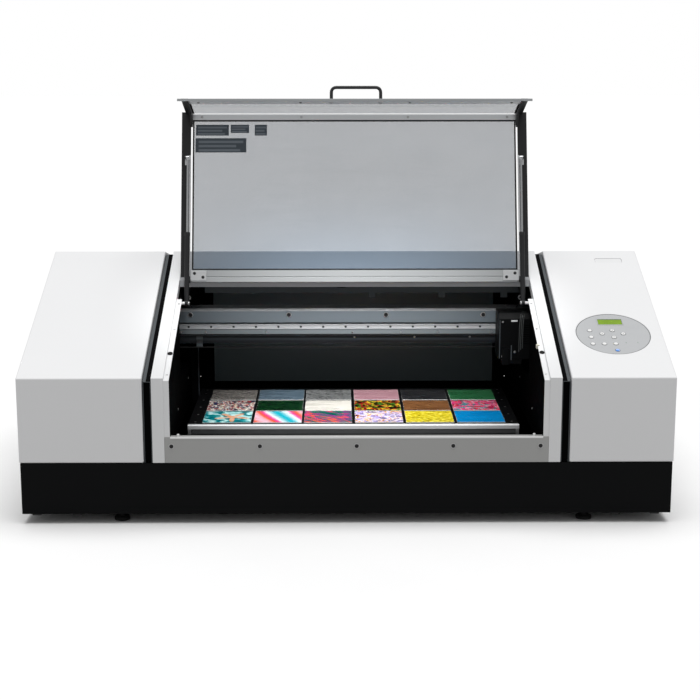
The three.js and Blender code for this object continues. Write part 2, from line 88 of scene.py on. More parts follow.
class Body(Enum):
    """The bodies of the frame that pieces ride on."""

    CABINET = "cabinet"
    CARRIAGE = "carriage"
    SADDLE = "saddle"
    TABLE = "table"
    COVER = "cover"
    DRIVE_PULLEY = "drive_pulley"
    IDLER_PULLEY = "idler_pulley"
    MAIN_SWITCH = "main_switch"


class Slot(Enum):
    """The record's material slots."""

    WHITE_PAINT = "white_paint"
    WHITE_SHELL = "white_shell"
    BLACK_PAINT = "black_paint"
    DARK_ANODISED = "dark_anodised"
    SLATE_PAINT = "slate_paint"
    SLATE_ANODISED = "slate_anodised"
    GREY_PAINT = "grey_paint"
    ALUMINIUM = "aluminium"
    STEEL = "steel"
    RUBBER = "rubber"
    BLACK_PLASTIC = "black_plastic"
    PANEL_GREY = "panel_grey"
    KEY_WHITE = "key_white"
    KEY_BLUE = "key_blue"
    LCD_GREEN = "lcd_green"
    SMOKED_ACRYLIC = "smoked_acrylic"


# ------------------------------------------------------------------ places
def spot(x: float, y: float, z: float) -> Vector:
    """A point of the frame, in metres.

    Args:
        x: Millimetres to the right.
        y: Millimetres behind the front face.
        z: Millimetres above the floor.

    Returns:
        The point.
    """
    return Vector((x * MM, (y - HALF_DEPTH) * MM, z * MM))


def on_roof(x: float, along: float, up: float = 0.0) -> Point:
    """A point on the housings' sloping roof.

    Args:
        x: Millimetres to the right.
        along: Millimetres up the slope from the front edge.
        up: Millimetres above the roof.

    Returns:
        The point, in mm, y counted from the front face.
    """
    c, s = math.cos(ROOF_ANGLE), math.sin(ROOF_ANGLE)
    return (x, along * c - up * s, ROOF_FRONT + along * s + up * c)


def roof_line(y: float, drop: float = 0.0) -> float:
    """Height of the roof.

    Args:
        y: Millimetres behind the front face.
        drop: How far the roof is lowered, in mm.

    Returns:
        The height in mm.
    """
    if y <= RIDGE_Y:
        return ROOF_FRONT - drop + ROOF_RISE * y
    return RIDGE_Z - drop - (y - RIDGE_Y) * (RIDGE_Z - REAR_Z) / (DEPTH - RIDGE_Y)


def square(first: Pair, second: Pair) -> list[Pair]:
    """The corners, in order, of the rectangle that two spans give."""
    return [(first[0], second[0]), (first[1], second[0]), (first[1], second[1]), (first[0], second[1])]


# ------------------------------------------------------------------ modelling
def focus(piece: Piece) -> None:
    """Makes the piece the only selected and the active object."""
    bpy.ops.object.select_all(action="DESELECT")
    piece.select_set(True)
    bpy.context.view_layer.objects.active = piece


def freeze(piece: Piece) -> Piece:
    """Applies place, turn and scale, so that the object stands at the origin."""
    focus(piece)
    bpy.ops.object.transform_apply(location=True, rotation=True, scale=True)
    return piece


def named(piece: Piece, name: str) -> Piece:
    """Names an object and its mesh."""
    piece.name = name
    piece.data.name = name
    return piece


def apply_modifiers(piece: Piece) -> None:
    """Applies every modifier of the piece, in order."""
    focus(piece)
    for modifier in list(piece.modifiers):
        bpy.ops.object.modifier_apply(modifier=modifier.name)


def soften(piece: Piece, width: float, segments: int = 2) -> Piece:
    """Rounds the piece's sharp edges and smooths what is left.

    Args:
        piece: The piece.
        width: Width of the rounding, in mm.
        segments: Faces across the rounding.

    Returns:
        The piece.
    """
    if width > 0:
        bevel = piece.modifiers.new("edges", "BEVEL")
        bevel.width = width * MM
        bevel.segments = segments
        bevel.limit_method = "ANGLE"
        bevel.angle_limit = SHARP_EDGE
        bevel.harden_normals = False
        bevel.use_clamp_overlap = True
        apply_modifiers(piece)
    focus(piece)
    bpy.ops.object.shade_smooth_by_angle(angle=SMOOTH_ANGLE)
    weights = piece.modifiers.new("flat_faces", "WEIGHTED_NORMAL")
    weights.keep_sharp = True
    apply_modifiers(piece)
    return piece


def tidy(piece: Piece) -> Piece:
    """Merges doubles and turns all faces outwards.

    Args:
        piece: The piece.

    Returns:
        The piece.
    """
    focus(piece)
    bpy.ops.object.mode_set(mode="EDIT")
    bpy.ops.mesh.select_mode(type="VERT")
    bpy.ops.mesh.select_all(action="SELECT")
    bpy.ops.mesh.remove_doubles(threshold=DOUBLES)
    bpy.ops.mesh.normals_make_consistent(inside=False)
    bpy.ops.object.mode_set(mode="OBJECT")
    return piece


def pick_faces(piece: Piece, test: Callable[[Vector, Vector], bool]) -> None:
    """Selects faces by place and normal and leaves the piece in edit mode.

    Args:
        piece: The piece.
        test: Takes a face's middle and normal and says whether it is picked.
    """
    focus(piece)
    bpy.ops.object.mode_set(mode="EDIT")
    bpy.ops.mesh.select_mode(type="FACE")
    bpy.ops.mesh.select_all(action="DESELECT")
    bpy.ops.object.mode_set(mode="OBJECT")
    for face in piece.data.polygons:
        face.select = test(face.center, face.normal)
    bpy.ops.object.mode_set(mode="EDIT")


def block(name: str, low: Point, high: Point, bevel: float = 0.6, segments: int = 2) -> Piece:
    """A block between two corners with rounded edges.

    Args:
        name: The piece's name.
        low: Lowest corner in mm.
        high: Highest corner in mm.
        bevel: Width of the rounding in mm.
        segments: Faces across the rounding.

    Returns:
        The new piece.
    """
    a, b = spot(*low), spot(*high)
    bpy.ops.object.select_all(action="DESELECT")
    bpy.ops.mesh.primitive_cube_add(size=1, location=(a + b) / 2)
    piece = named(bpy.context.active_object, name)
    piece.scale = b - a
    return soften(freeze(piece), bevel, segments)


def prism(name: str, outline: Sequence[Pair], x0: float, x1: float, bevel: float = 0.6,
          segments: int = 2) -> Piece:
    """A side outline pushed along X.

    Args:
        name: The piece's name.
        outline: Points (y, z) in mm around the outline.
        x0: First end in mm.
        x1: Second end in mm.
        bevel: Width of the rounding in mm.
        segments: Faces across the rounding.

    Returns:
        The new piece.
    """
    bpy.ops.object.select_all(action="DESELECT")
    bpy.ops.mesh.primitive_circle_add(vertices=len(outline), radius=MM, fill_type="NGON")
    piece = named(bpy.context.active_object, name)
    for vertex, (y, z) in zip(piece.data.vertices, outline):
        vertex.co = spot(x0, y, z)
    focus(piece)
    bpy.ops.object.mode_set(mode="EDIT")
    bpy.ops.mesh.select_all(action="SELECT")
    bpy.ops.mesh.extrude_region_move(TRANSFORM_OT_translate={"value": ((x1 - x0) * MM, 0, 0)})
    bpy.ops.object.mode_set(mode="OBJECT")
    return soften(tidy(piece), bevel, segments)


def turned(name: str, profile: Sequence[Pair], foot: Point, axis: Vector = Vector((0, 0, 1)),
           steps: int = 24) -> Piece:
    """A turned part: rings of given radius stacked along an axis.

    Args:
        name: The piece's name.
        profile: Pairs (radius, height along the axis) in mm.
        foot: Where height 0 stands, in mm.
        axis: Direction of the axis.
        steps: Sides of each ring.

    Returns:
        The new piece.
    """
    bpy.ops.object.select_all(action="DESELECT")
    radius, height = profile[0]
    bpy.ops.mesh.primitive_circle_add(vertices=steps, radius=radius * MM, fill_type="NGON",
                                      location=(0, 0, height * MM))
    piece = freeze(named(bpy.context.active_object, name))
    bpy.ops.object.mode_set(mode="EDIT")
    bpy.ops.mesh.select_all(action="SELECT")
    for wide, high in profile[1:]:
        bpy.ops.mesh.extrude_region_move(TRANSFORM_OT_translate={"value": (0, 0, (high - height) * MM)})
        ratio = wide / radius
        bpy.ops.transform.resize(value=(ratio, ratio, 1), center_override=(0, 0, high * MM))
        radius, height = wide, high
    bpy.ops.object.mode_set(mode="OBJECT")
    piece.rotation_mode = "QUATERNION"
    piece.rotation_quaternion = Vector((0, 0, 1)).rotation_difference(axis)
    piece.location = spot(*foot)
    freeze(piece)
    return soften(tidy(piece), 0)


def tube(name: str, points: Sequence[Point], radius: float, sides: int) -> Piece:
    """A round cable or hose along points.

    Args:
        name: The piece's name.
        points: The points in mm.
        radius: Radius in mm.
        sides: Steps in a quarter of its round section.

    Returns:
        The new piece, as a mesh.
    """
    curve = bpy.data.curves.new(name, "CURVE")
    curve.dimensions = "3D"
    curve.bevel_depth = radius * MM
    curve.bevel_resolution = sides
    curve.use_fill_caps = True
    curve.resolution_u = 10
    spline = curve.splines.new("BEZIER")
    spline.bezier_points.add(len(points) - 1)
    for knot, point in zip(spline.bezier_points, points):
        knot.co = spot(*point)
        knot.handle_left_type = knot.handle_right_type = "AUTO"
    piece = bpy.data.objects.new(name, curve)
    bpy.context.scene.collection.objects.link(piece)
    focus(piece)
    bpy.ops.object.convert(target="MESH")
    made = named(bpy.context.active_object, name)
    return soften(tidy(made), 0)


def refine(node: str, name: str, bevel: float, segments: int) -> Piece:
    """A finished copy of a CAD node, with clean faces and rounded edges.

    Args:
        node: The CAD node that is copied.
        name: The new piece's name.
        bevel: Width of the rounding in mm.
        segments: Faces across the rounding.

    Returns:
        The new piece, still riding on nothing.
    """
    source = bpy.data.objects[node]
    piece = source.copy()
    piece.data = source.data.copy()
    bpy.context.scene.collection.objects.link(piece)
    piece.parent = None
    piece.matrix_world = Matrix.Identity(4)
    for key in list(piece.keys()):
        del piece[key]
    named(piece, name)
    focus(piece)
    if piece.data.has_custom_normals:
        bpy.ops.mesh.customdata_custom_splitnormals_clear()
    bpy.ops.object.mode_set(mode="EDIT")
    bpy.ops.mesh.select_all(action="SELECT")
    bpy.ops.mesh.remove_doubles(threshold=CAD_DOUBLES)
    bpy.ops.mesh.dissolve_limited(angle_limit=FLAT_ANGLE)
    bpy.ops.object.mode_set(mode="OBJECT")
    return soften(piece, bevel, segments)


def carve(piece: Piece, *cutters: Piece) -> Piece:
    """Cuts other solids out of a piece and removes them.

    Args:
        piece: The piece.
        *cutters: What is cut out of it.

    Returns:
        The piece.
    """
    for cutter in cutters:
        difference = piece.modifiers.new("cut", "BOOLEAN")
        difference.operation = "DIFFERENCE"
        difference.solver = "EXACT"
        difference.object = cutter
        apply_modifiers(piece)
        bpy.data.objects.remove(cutter)
    return soften(piece, 0)


def twin(piece: Piece, name: str, offset: Point) -> Piece:
    """A copy with its own mesh, moved by an offset.

    Args:
        piece: What is copied.
        name: The copy's name.
        offset: The move in mm.

    Returns:
        The copy.
    """
    made = piece.copy()
    made.data = piece.data.copy()
    bpy.context.scene.collection.objects.link(made)
    made.data.transform(Matrix.Translation(Vector(offset) * MM))
    return named(made, name)


def row_of(piece: Piece, name: str, offsets: Iterable[Point]) -> Piece:
    """Copies a piece to several places and joins the copies into one.

    Args:
        piece: The pattern, which is used up.
        name: Name of the joined piece.
        offsets: Moves of the copies in mm.

    Returns:
        The joined piece.
    """
    made = [twin(piece, f"{name}_{index}", offset) for index, offset in enumerate(offsets)]
    bpy.data.objects.remove(piece)
    return weld(name, *made)


def weld(name: str, *pieces: Piece) -> Piece:
    """Joins pieces of one finish into one object.

    Args:
        name: Name of the joined piece.
        *pieces: What is joined.

    Returns:
        The joined piece.
    """
    bpy.ops.object.select_all(action="DESELECT")
    for piece in pieces:
        piece.select_set(True)
    bpy.context.view_layer.objects.active = pieces[0]
    if len(pieces) > 1:
        bpy.ops.object.join()
    return named(bpy.context.active_object, name)


def place(piece: Piece, body: Body | str, finish: "Finish",
          replaces: Sequence[str] = ()) -> Piece:
    """Dresses a piece and hangs it on its body.

    Args:
        piece: The piece.
        body: The body that it moves with.
        finish: Its finish.
        replaces: CAD nodes that it stands for.

    Returns:
        The piece.
    """
    piece.data.materials.clear()
    piece.data.materials.append(finish.material())
    for face in piece.data.polygons:
        face.material_index = 0
    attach(piece, body.value if isinstance(body, Body) else body)
    if replaces:
        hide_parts(*replaces)
    LOG.info("%s: %d faces, on %s", piece.name, len(piece.data.polygons), body)
    return piece


def restore(node: str, name: str, bevel: float, segments: int, body: Body | str, finish: "Finish") -> None:
    """Puts a cleaned copy of a CAD node in the node's place.

    Args:
        node: The CAD node.
        name: The copy's name.
        bevel: Width of the rounding in mm.
        segments: Faces across the rounding.
        body: The body that it moves with.
        finish: Its finish.
    """
    place(refine(node, name, bevel, segments), body, finish, [node])


def dress(node: str, finish: "Finish") -> None:
    """Gives a CAD node that keeps its shape a better finish."""
    mesh = bpy.data.objects[node].data
    mesh.materials.clear()
    mesh.materials.append(finish.material())
    LOG.info("%s keeps its shape", node)


# ------------------------------------------------------------------ node graphs
class Graph:
    """Adds nodes to a node tree."""

    def __init__(self, tree: Tree) -> None:
        """Works on the given tree."""
        self.tree = tree

    def add(self, kind: str, inputs: dict | None = None, **settings: object) -> Node:
        """Adds a node.

        Args:
            kind: The node's type name.
            inputs: Values or sockets for its inputs, by name or number.
            **settings: Properties of the node.

        Returns:
            The node.
        """
        node = self.tree.nodes.new(kind)
        for key, value in settings.items():
            setattr(node, key, value)
        for key, value in (inputs or {}).items():
            if isinstance(value, Socket):
                self.tree.links.new(value, node.inputs[key])
            else:
                node.inputs[key].default_value = value
        return node

    def math(self, operation: str, first: object, second: object = 0.0) -> Socket:
        """One sum of two values."""
        return self.add("ShaderNodeMath", {0: first, 1: second}, operation=operation).outputs[0]

    def mix(self, factor: object, first: object, second: object, blend: str = "MIX") -> Socket:
        """Mixes two colours.

        Args:
            factor: Share of the second one.
            first: A colour or a socket.
            second: A colour or a socket.
            blend: How they are mixed.

        Returns:
            The mixed colour.
        """
        first = (*first, 1) if isinstance(first, tuple) and len(first) == 3 else first
        second = (*second, 1) if isinstance(second, tuple) and len(second) == 3 else second
        node = self.add("ShaderNodeMix", {0: factor, 6: first, 7: second}, data_type="RGBA", blend_type=blend)
        return node.outputs[2]

    def span(self, value: object, low: float, high: float, to_low: float = 0.0,
             to_high: float = 1.0) -> Socket:
        """Maps a value from one range to another, clamped."""
        inputs = {"Value": value, "From Min": low, "From Max": high, "To Min": to_low, "To Max": to_high}
        return self.add("ShaderNodeMapRange", inputs).outputs[0]

    def ramp(self, factor: object, stops: Sequence[tuple[float, Colour]],
             stepped: bool = False) -> Socket:
        """A colour ramp.

        Args:
            factor: What is coloured.
            stops: Place and colour of each stop.
            stepped: Whether the colours change in steps.

        Returns:
            The colour.
        """
        node = self.add("ShaderNodeValToRGB", {0: factor})
        ramp = node.color_ramp
        ramp.interpolation = "CONSTANT" if stepped else "LINEAR"
        for index, (position, colour) in enumerate(stops):
            stop = ramp.elements[index] if index < 2 else ramp.elements.new(position)
            stop.position = position
            stop.color = (*colour, 1)
        return node.outputs[0]

    def mapped(self, vector: object, **settings: Point) -> Socket:
        """Coordinates moved, turned or scaled by a mapping node."""
        return self.add("ShaderNodeMapping", {"Vector": vector, **settings}).outputs[0]

    def noise(self, vector: object, scale: object, detail: float = 3.0,
              distortion: float = 0.0) -> Socket:
        """Noise as a value."""
        inputs = {"Vector": vector, "Scale": scale, "Detail": detail, "Distortion": distortion}
        return self.add("ShaderNodeTexNoise", inputs).outputs[0]

    def around_one(self, value: object, contrast: object) -> Socket:
        """A shade that swings about 1 as the value swings about a half."""
        return self.math("ADD", self.math("MULTIPLY", self.math("SUBTRACT", value, 0.5), contrast), 1.0)

    def close(self, **results: Socket) -> Tree:
        """Links a group's results to its outputs and gives the group."""
        leave = self.tree.nodes.new("NodeGroupOutput")
        for label, source in results.items():
            self.tree.links.new(source, leave.inputs[label])
        return self.tree


def new_group(name: str, values: dict[str, float], outputs: Sequence[str]) -> tuple[Graph, dict]:
    """Starts a shader node group that reads coordinates and some values.

    Args:
        name: The group's name.
        values: Names and defaults of the inputs that follow the coordinates.
        outputs: Names of its outputs. Shade is a colour, the others are values.

    Returns:
        A graph on the group and its input sockets by name.
    """
    tree = bpy.data.node_groups.new(name, "ShaderNodeTree")
    tree.interface.new_socket("Vector", in_out="INPUT", socket_type="NodeSocketVector")
    for label, value in values.items():
        tree.interface.new_socket(label, in_out="INPUT", socket_type="NodeSocketFloat").default_value = value
    for label in outputs:
        kind = "NodeSocketColor" if label == "Shade" else "NodeSocketFloat"
        tree.interface.new_socket(label, in_out="OUTPUT", socket_type=kind)
    entry = tree.nodes.new("NodeGroupInput")
    return Graph(tree), {socket.name: socket for socket in entry.outputs}


class Effects:
    """Surface effects that several materials share, each made once."""

    @staticmethod
    @cache
    def grain() -> Tree:
        """Orange peel and specks of a powder coat or a moulded skin."""
        g, given = new_group("surface_grain", {"Scale": 900.0, "Contrast": 0.05}, ("Height", "Shade"))
        coarse = g.noise(given["Vector"], given["Scale"], 2.0)
        fine_scale = g.math("MULTIPLY", given["Scale"], 3.1)
        fine = g.add("ShaderNodeTexVoronoi", {"Vector": given["Vector"], "Scale": fine_scale})
        height = g.math("ADD", coarse, g.math("MULTIPLY", fine.outputs["Distance"], 0.35))
        return g.close(Height=height, Shade=g.around_one(coarse, given["Contrast"]))

    @staticmethod
    @cache
    def handling() -> Tree:
        """Broad uneven gloss with faint wipe marks, as on a cleaned and handled surface."""
        values = {"Scale": 7.0, "Low": 0.3, "High": 0.45}
        g, given = new_group("handling_marks", values, ("Mask", "Roughness"))
        broad = g.noise(given["Vector"], given["Scale"], 4.0)
        wiped = g.noise(g.mapped(given["Vector"], Scale=(1.0, 6.0, 9.0)), given["Scale"], 6.0)
        blend = g.math("ADD", g.math("MULTIPLY", broad, 0.6), g.math("MULTIPLY", wiped, 0.4))
        mask = g.span(blend, 0.35, 0.68)
        spread = g.math("SUBTRACT", given["High"], given["Low"])
        return g.close(Mask=mask, Roughness=g.math("ADD", g.math("MULTIPLY", mask, spread), given["Low"]))

    @staticmethod
    @cache
    def drawn() -> Tree:
        """Fine lines along X, as extruding, drawing or brushing leaves them."""
        g, given = new_group("drawn_lines", {"Scale": 400.0, "Contrast": 0.12}, ("Height", "Shade"))
        lines = g.noise(g.mapped(given["Vector"], Scale=(0.01, 1.0, 1.0)), given["Scale"], 5.0)
        return g.close(Height=lines, Shade=g.around_one(lines, given["Contrast"]))


class Skin:
    """A material in the making: a graph, object coordinates and one Principled shader."""

    def __init__(self, name: str) -> None:
        """Starts a material of that name."""
        self.material = bpy.data.materials.new(name)
        self.material.use_nodes = True
        self.g = Graph(self.material.node_tree)
        self.shader = self.material.node_tree.nodes["Principled BSDF"]
        self.where = self.g.add("ShaderNodeTexCoord").outputs["Object"]

    def effect(self, tree: Tree, **values: float) -> dict[str, Socket]:
        """Adds a shared effect with its own values.

        Args:
            tree: The effect's node group.
            **values: Values of its sockets.

        Returns:
            The effect's outputs by name.
        """
        node = self.g.add("ShaderNodeGroup", {"Vector": self.where, **values}, node_tree=tree)
        return {socket.name: socket for socket in node.outputs}

    def feed(self, label: str, source: Socket) -> None:
        """Links a socket to one of the shader's inputs."""
        self.g.tree.links.new(source, self.shader.inputs[label])

    def gloss(self, low: float, high: float) -> Socket:
        """Makes the roughness wander as handling leaves it.

        Args:
            low: Least roughness.
            high: Greatest roughness.

        Returns:
            The marks' mask.
        """
        marks = self.effect(Effects.handling(), Low=low, High=high)
        self.feed("Roughness", marks["Roughness"])
        return marks["Mask"]

    def relief(self, height: Socket, strength: float, distance: float = 0.0002) -> None:
        """Raises the surface by a height, over a distance in metres."""
        bump = self.g.add("ShaderNodeBump", {"Height": height, "Strength": strength, "Distance": distance})
        self.feed("Normal", bump.outputs[0])

    def fix(self, values: dict[str, float]) -> Material:
        """Sets plain values on the shader's own sockets and hands over the material."""
        for label, value in values.items():
            self.shader.inputs[label].default_value = value
        return self.material


class Finish:
    """A surface finish whose material is made once."""

    @cache
    def material(self) -> Material:
        """The finish's material, made on first use."""
        return self.build()

    def build(self) -> Material:
        """Makes the material."""
        raise NotImplementedError


@dataclass(frozen=True)
class Coated(Finish):
    """Powder coat or moulded skin: fine grain and uneven gloss."""

    name: str
    colour: Colour
    rough_low: float
    rough_high: float
    grain_scale: float
    contrast: float
    bump: float
    specular: float = 0.5

    def build(self) -> Material:
        """Makes the coat's material."""
        skin = Skin(self.name)
        grain = skin.effect(Effects.grain(), Scale=self.grain_scale, Contrast=self.contrast)
        skin.feed("Base Color", skin.g.mix(1.0, self.colour, grain["Shade"], "MULTIPLY"))
        skin.gloss(self.rough_low, self.rough_high)
        skin.relief(grain["Height"], self.bump)
        return skin.fix({"Specular IOR Level": self.specular})


@dataclass(frozen=True)
class Metal(Finish):
    """Bare or anodised metal with drawn lines along X."""

    name: str
    colour: Colour
    rough_low: float
    rough_high: float
    metallic: float
    line_scale: float
    contrast: float
    bump: float

    def build(self) -> Material:
        """Makes the metal's material."""
        skin = Skin(self.name)
        lines = skin.effect(Effects.drawn(), Scale=self.line_scale, Contrast=self.contrast)
        skin.feed("Base Color", skin.g.mix(1.0, self.colour, lines["Shade"], "MULTIPLY"))
        skin.gloss(self.rough_low, self.rough_high)
        skin.relief(lines["Height"], self.bump)
        return skin.fix({"Metallic": self.metallic})


@dataclass(frozen=True)
class Knurled(Finish):
    """A dark bar with fine ribs across its length, one every so many mm. The rib crests are painted lighter:
    painted highlights.
    """

    name: str
    colour: Colour
    pitch: float = 2.4

    def build(self) -> Material:
        """Makes the ribbed material."""
        skin = Skin(self.name)
        waves = {"Vector": skin.where, "Scale": math.pi / 10 / (self.pitch * MM)}
        ribs = skin.g.add("ShaderNodeTexWave", waves, bands_direction="X", wave_profile="SIN").outputs[1]
        # the colour swings from the bar's dark to 2.6 times lighter along each rib: painted highlights on the
        # crests
        skin.feed("Base Color", skin.g.mix(ribs, self.colour, tuple(c * 2.6 for c in self.colour)))
        skin.gloss(0.3, 0.5)
        skin.relief(ribs, 0.5, 0.0008)
        return skin.fix({"Metallic": 0.6})


@dataclass(frozen=True)
class Acrylic(Finish):
    """Tinted clear sheet: a thin film of wiping marks and dust over an even tint."""

    name: str
    colour: Colour
    cover: float
    rough: float = 0.04

    def build(self) -> Material:
        """Makes the sheet's material."""
        skin = Skin(self.name)
        g = skin.g
        wiped = skin.gloss(self.rough, self.rough + 0.05)
        skin.feed("Alpha", g.span(wiped, 0.0, 1.0, self.cover, self.cover + 0.02))
        specks = g.span(g.noise(skin.where, 420.0, 8.0), 0.72, 0.8, 0.0, 0.25)
        skin.feed("Base Color", g.mix(specks, self.colour, (0.5, 0.52, 0.55)))
        return skin.fix({"IOR": 1.49, "Specular IOR Level": 0.4})


@dataclass(frozen=True)
class Display(Finish):
    """A backlit character display with rows of blank dot cells."""

    name: str
    colour: Colour
    cell: Pair = (0.0031, 0.0052)

    def build(self) -> Material:
        """Makes the display's material."""
        skin = Skin(self.name)
        g = skin.g
        level = g.mapped(skin.where, Rotation=(-ROOF_ANGLE, 0, 0))
        bricks = {"Vector": level, "Scale": 1.0, "Brick Width": self.cell[0], "Row Height": self.cell[1],
                  "Mortar Size": 0.0004, "Mortar Smooth": 0.3, "Color1": (0, 0, 0, 1), "Color2": (0, 0, 0, 1),
                  "Mortar": (1, 1, 1, 1)}
        gaps = g.add("ShaderNodeTexBrick", bricks, offset=0.0).outputs[0]
        glow = g.span(g.noise(skin.where, 35.0, 1.0), 0.3, 0.7)
        lit = g.mix(glow, self.colour, tuple(c * 0.82 for c in self.colour))
        colour = g.mix(gaps, g.mix(1.0, lit, (0.8, 0.85, 0.75), "MULTIPLY"), lit)
        skin.feed("Base Color", colour)
        skin.feed("Emission Color", colour)
        skin.gloss(0.12, 0.2)
        return skin.fix({"Emission Strength": 0.35})


@dataclass(frozen=True)
class Lamp(Finish):
    """A small lit cap whose light is a little uneven."""

    name: str
    colour: Colour
    strength: float

    def build(self) -> Material:
        """Makes the lit material."""
        skin = Skin(self.name)
        cloud = skin.g.span(skin.g.noise(skin.where, 160.0, 2.0), 0.3, 0.7, 0.0, 0.4)
        tint = skin.g.mix(cloud, self.colour, (0.9, 0.95, 1.0))
        skin.feed("Emission Color", tint)
        skin.feed("Base Color", tint)
        skin.gloss(0.2, 0.35)
        return skin.fix({"Emission Strength": self.strength})


class Pattern(Enum):
    """The kinds of print on the sample boards."""

    BANDS = "bands"
    CLOUDS = "clouds"
    CELLS = "cells"
    PATCHES = "patches"
    GRAIN = "grain"
    SPECKLE = "speckle"
    PLAIN = "plain"
    STAR = "star"
    BRUSHED = "brushed"


@dataclass(frozen=True)
class Cloud:
    """Noise behind a pattern: its stretch along X, detail, distortion and the range that is kept."""

    stretch: float = 1.0
    detail: float = 4.0
    distortion: float = 0.0
    low: float = 0.3
    high: float = 0.7


CLOUDS: dict[Pattern, Cloud] = {
    Pattern.PATCHES: Cloud(1.0, 2.0, 1.2),
    Pattern.GRAIN: Cloud(0.12, 8.0, 1.5),
    Pattern.BRUSHED: Cloud(0.25, 5.0, 2.0, 0.34, 0.66),
    Pattern.SPECKLE: Cloud(1.0, 12.0, 0.3, 0.32, 0.68),
    Pattern.CLOUDS: Cloud(),
    Pattern.PLAIN: Cloud(),
}


@dataclass(frozen=True)
class Print(Finish):
    """Ink on a sample board: a pattern in a few colours, with the raster's slight relief."""

    name: str
    pattern: Pattern
    colours: tuple[Colour, ...]
    scale: float
    turn: float
    middle: Pair

    def waves(self, g: Graph, where: Socket, bend: Point) -> Socket:
        """Bent diagonal bands.

        Args:
            g: The material's graph.
            where: Coordinates centred on the board.
            bend: Distortion, detail and detail scale.

        Returns:
            A value from 0 to 1.
        """
        waves = {"Vector": where, "Scale": self.scale, "Distortion": bend[0], "Detail": bend[1],
                 "Detail Scale": bend[2]}
        return g.add("ShaderNodeTexWave", waves, bands_direction="DIAGONAL").outputs[1]

    def field(self, g: Graph, where: Socket) -> Socket:
        """The value that the colours are laid along.

        Args:
            g: The material's graph.
            where: Coordinates centred on the board.

        Returns:
            A value from 0 to 1.
        """
        if self.pattern is Pattern.BANDS:
            return self.waves(g, where, (9.0, 2.0, 0.35))
        if self.pattern is Pattern.STAR:
            return self.star(g, where)
        if self.pattern is Pattern.CELLS:
            stir = g.add("ShaderNodeTexNoise", {"Vector": where, "Scale": 40.0}).outputs["Color"]
            bent = g.mix(0.06, where, stir)
            cells = g.add("ShaderNodeTexVoronoi", {"Vector": bent, "Scale": self.scale, "Randomness": 1.0})
            return g.add("ShaderNodeSeparateColor", {0: cells.outputs["Color"]}).outputs[0]
        cloud = CLOUDS[self.pattern]
        if cloud.stretch != 1.0:
            where = g.mapped(where, Scale=(cloud.stretch, 1.0, 1.0))
        return g.span(g.noise(where, self.scale, cloud.detail, cloud.distortion), cloud.low, cloud.high)

    def star(self, g: Graph, where: Socket) -> Socket:
        """Rippled water with a five-armed star on it: the water fills the lower part of the range.

        Args:
            g: The material's graph.
            where: Coordinates centred on the board.

        Returns:
            A value from 0 to 1.
        """
        parts = g.add("ShaderNodeSeparateXYZ", {0: where}).outputs
        across = g.math("SUBTRACT", parts[0], 0.012)
        angle = g.math("ARCTAN2", parts[1], across)
        arms = g.math("POWER", g.span(g.math("COSINE", g.math("MULTIPLY", angle, 5.0)), -1.0, 1.0), 2.0)
        reach = g.math("ADD", g.math("MULTIPLY", arms, 0.036), 0.012)
        away = g.math("SQRT", g.math("ADD", g.math("POWER", across, 2.0), g.math("POWER", parts[1], 2.0)))
        inside = g.math("LESS_THAN", away, reach)
        water = self.waves(g, where, (12.0, 3.0, 2.0))
        body = g.span(g.noise(where, 90.0), 0.3, 0.7, 0.8, 1.0)
        return g.math("MAXIMUM", g.math("MULTIPLY", water, 0.66), g.math("MULTIPLY", inside, body))

    def build(self) -> Material:
        """Makes the print's material."""
        skin = Skin(self.name)
        g = skin.g
        middle = spot(*self.middle, 0)
        centred = g.mapped(skin.where, Location=(-middle.x, -middle.y, 0))
        skin.where = g.mapped(centred, Rotation=(0, 0, self.turn))
        stepped = self.pattern is Pattern.CELLS
        steps = len(self.colours) - (0 if stepped else 1)
        stops = [(index / steps, colour) for index, colour in enumerate(self.colours)]
        colour = g.ramp(self.field(g, skin.where), stops, stepped)
        raster = g.add("ShaderNodeTexVoronoi", {"Vector": skin.where, "Scale": 1400.0}).outputs["Distance"]
        skin.feed("Base Color", g.mix(1.0, colour, g.span(raster, 0.1, 0.8, 1.06, 0.92), "MULTIPLY"))
        skin.gloss(0.25, 0.4)
        skin.relief(raster, 0.05, 0.0001)
        return skin.material


# ------------------------------------------------------------------ the printer's finishes
SHELL = Coated("white_shell", (0.80, 0.803, 0.81), 0.42, 0.52, 1400.0, 0.03, 0.03)
SHEET_WHITE = Coated("white_sheet", (0.78, 0.785, 0.79), 0.36, 0.46, 900.0, 0.03, 0.04)
DECK_GREY = Coated("deck_coat", (0.38, 0.39, 0.405), 0.36, 0.46, 900.0, 0.03, 0.04)
BASE_BLACK = Coated("base_black", (0.0030, 0.0033, 0.0037), 0.3, 0.4, 700.0, 0.2, 0.03, 0.09)
CHANNEL_BLACK = Coated("channel_black", (0.022, 0.026, 0.031), 0.35, 0.5, 900.0, 0.2, 0.05, 0.3)
# near-white for the apron's rim: a painted highlight along its top edge
APRON_RIM_HIGHLIGHT = Coated("rim_grey", (0.86, 0.86, 0.855), 0.3, 0.4, 900.0, 0.03, 0.02)
# also the visor's lip edge; on the beam's top strip this lighter grey is a painted highlight of the lit top
PALE_EDGE_AND_HIGHLIGHT = Metal("edge_grey", (0.38, 0.395, 0.405), 0.3, 0.42, 0.3, 500.0, 0.08, 0.03)
STRIP_GREY = Coated("strip_grey", (0.135, 0.155, 0.165), 0.36, 0.46, 900.0, 0.08, 0.04)
HINGE_BAR = Metal("hinge_bar_metal", (0.32, 0.332, 0.338), 0.36, 0.48, 0.3, 500.0, 0.06, 0.03)
BAND_SLATE = Coated("band_slate", (0.024, 0.034, 0.040), 0.36, 0.46, 900.0, 0.12, 0.05, 0.4)
TABLE_BLACK = Coated("table_black", (0.0028, 0.0029, 0.0032), 0.4, 0.55, 1600.0, 0.3, 0.06, 0.12)
SATIN_BLACK = Coated("satin_black", (0.012, 0.0125, 0.0135), 0.34, 0.46, 900.0, 0.2, 0.05, 0.4)
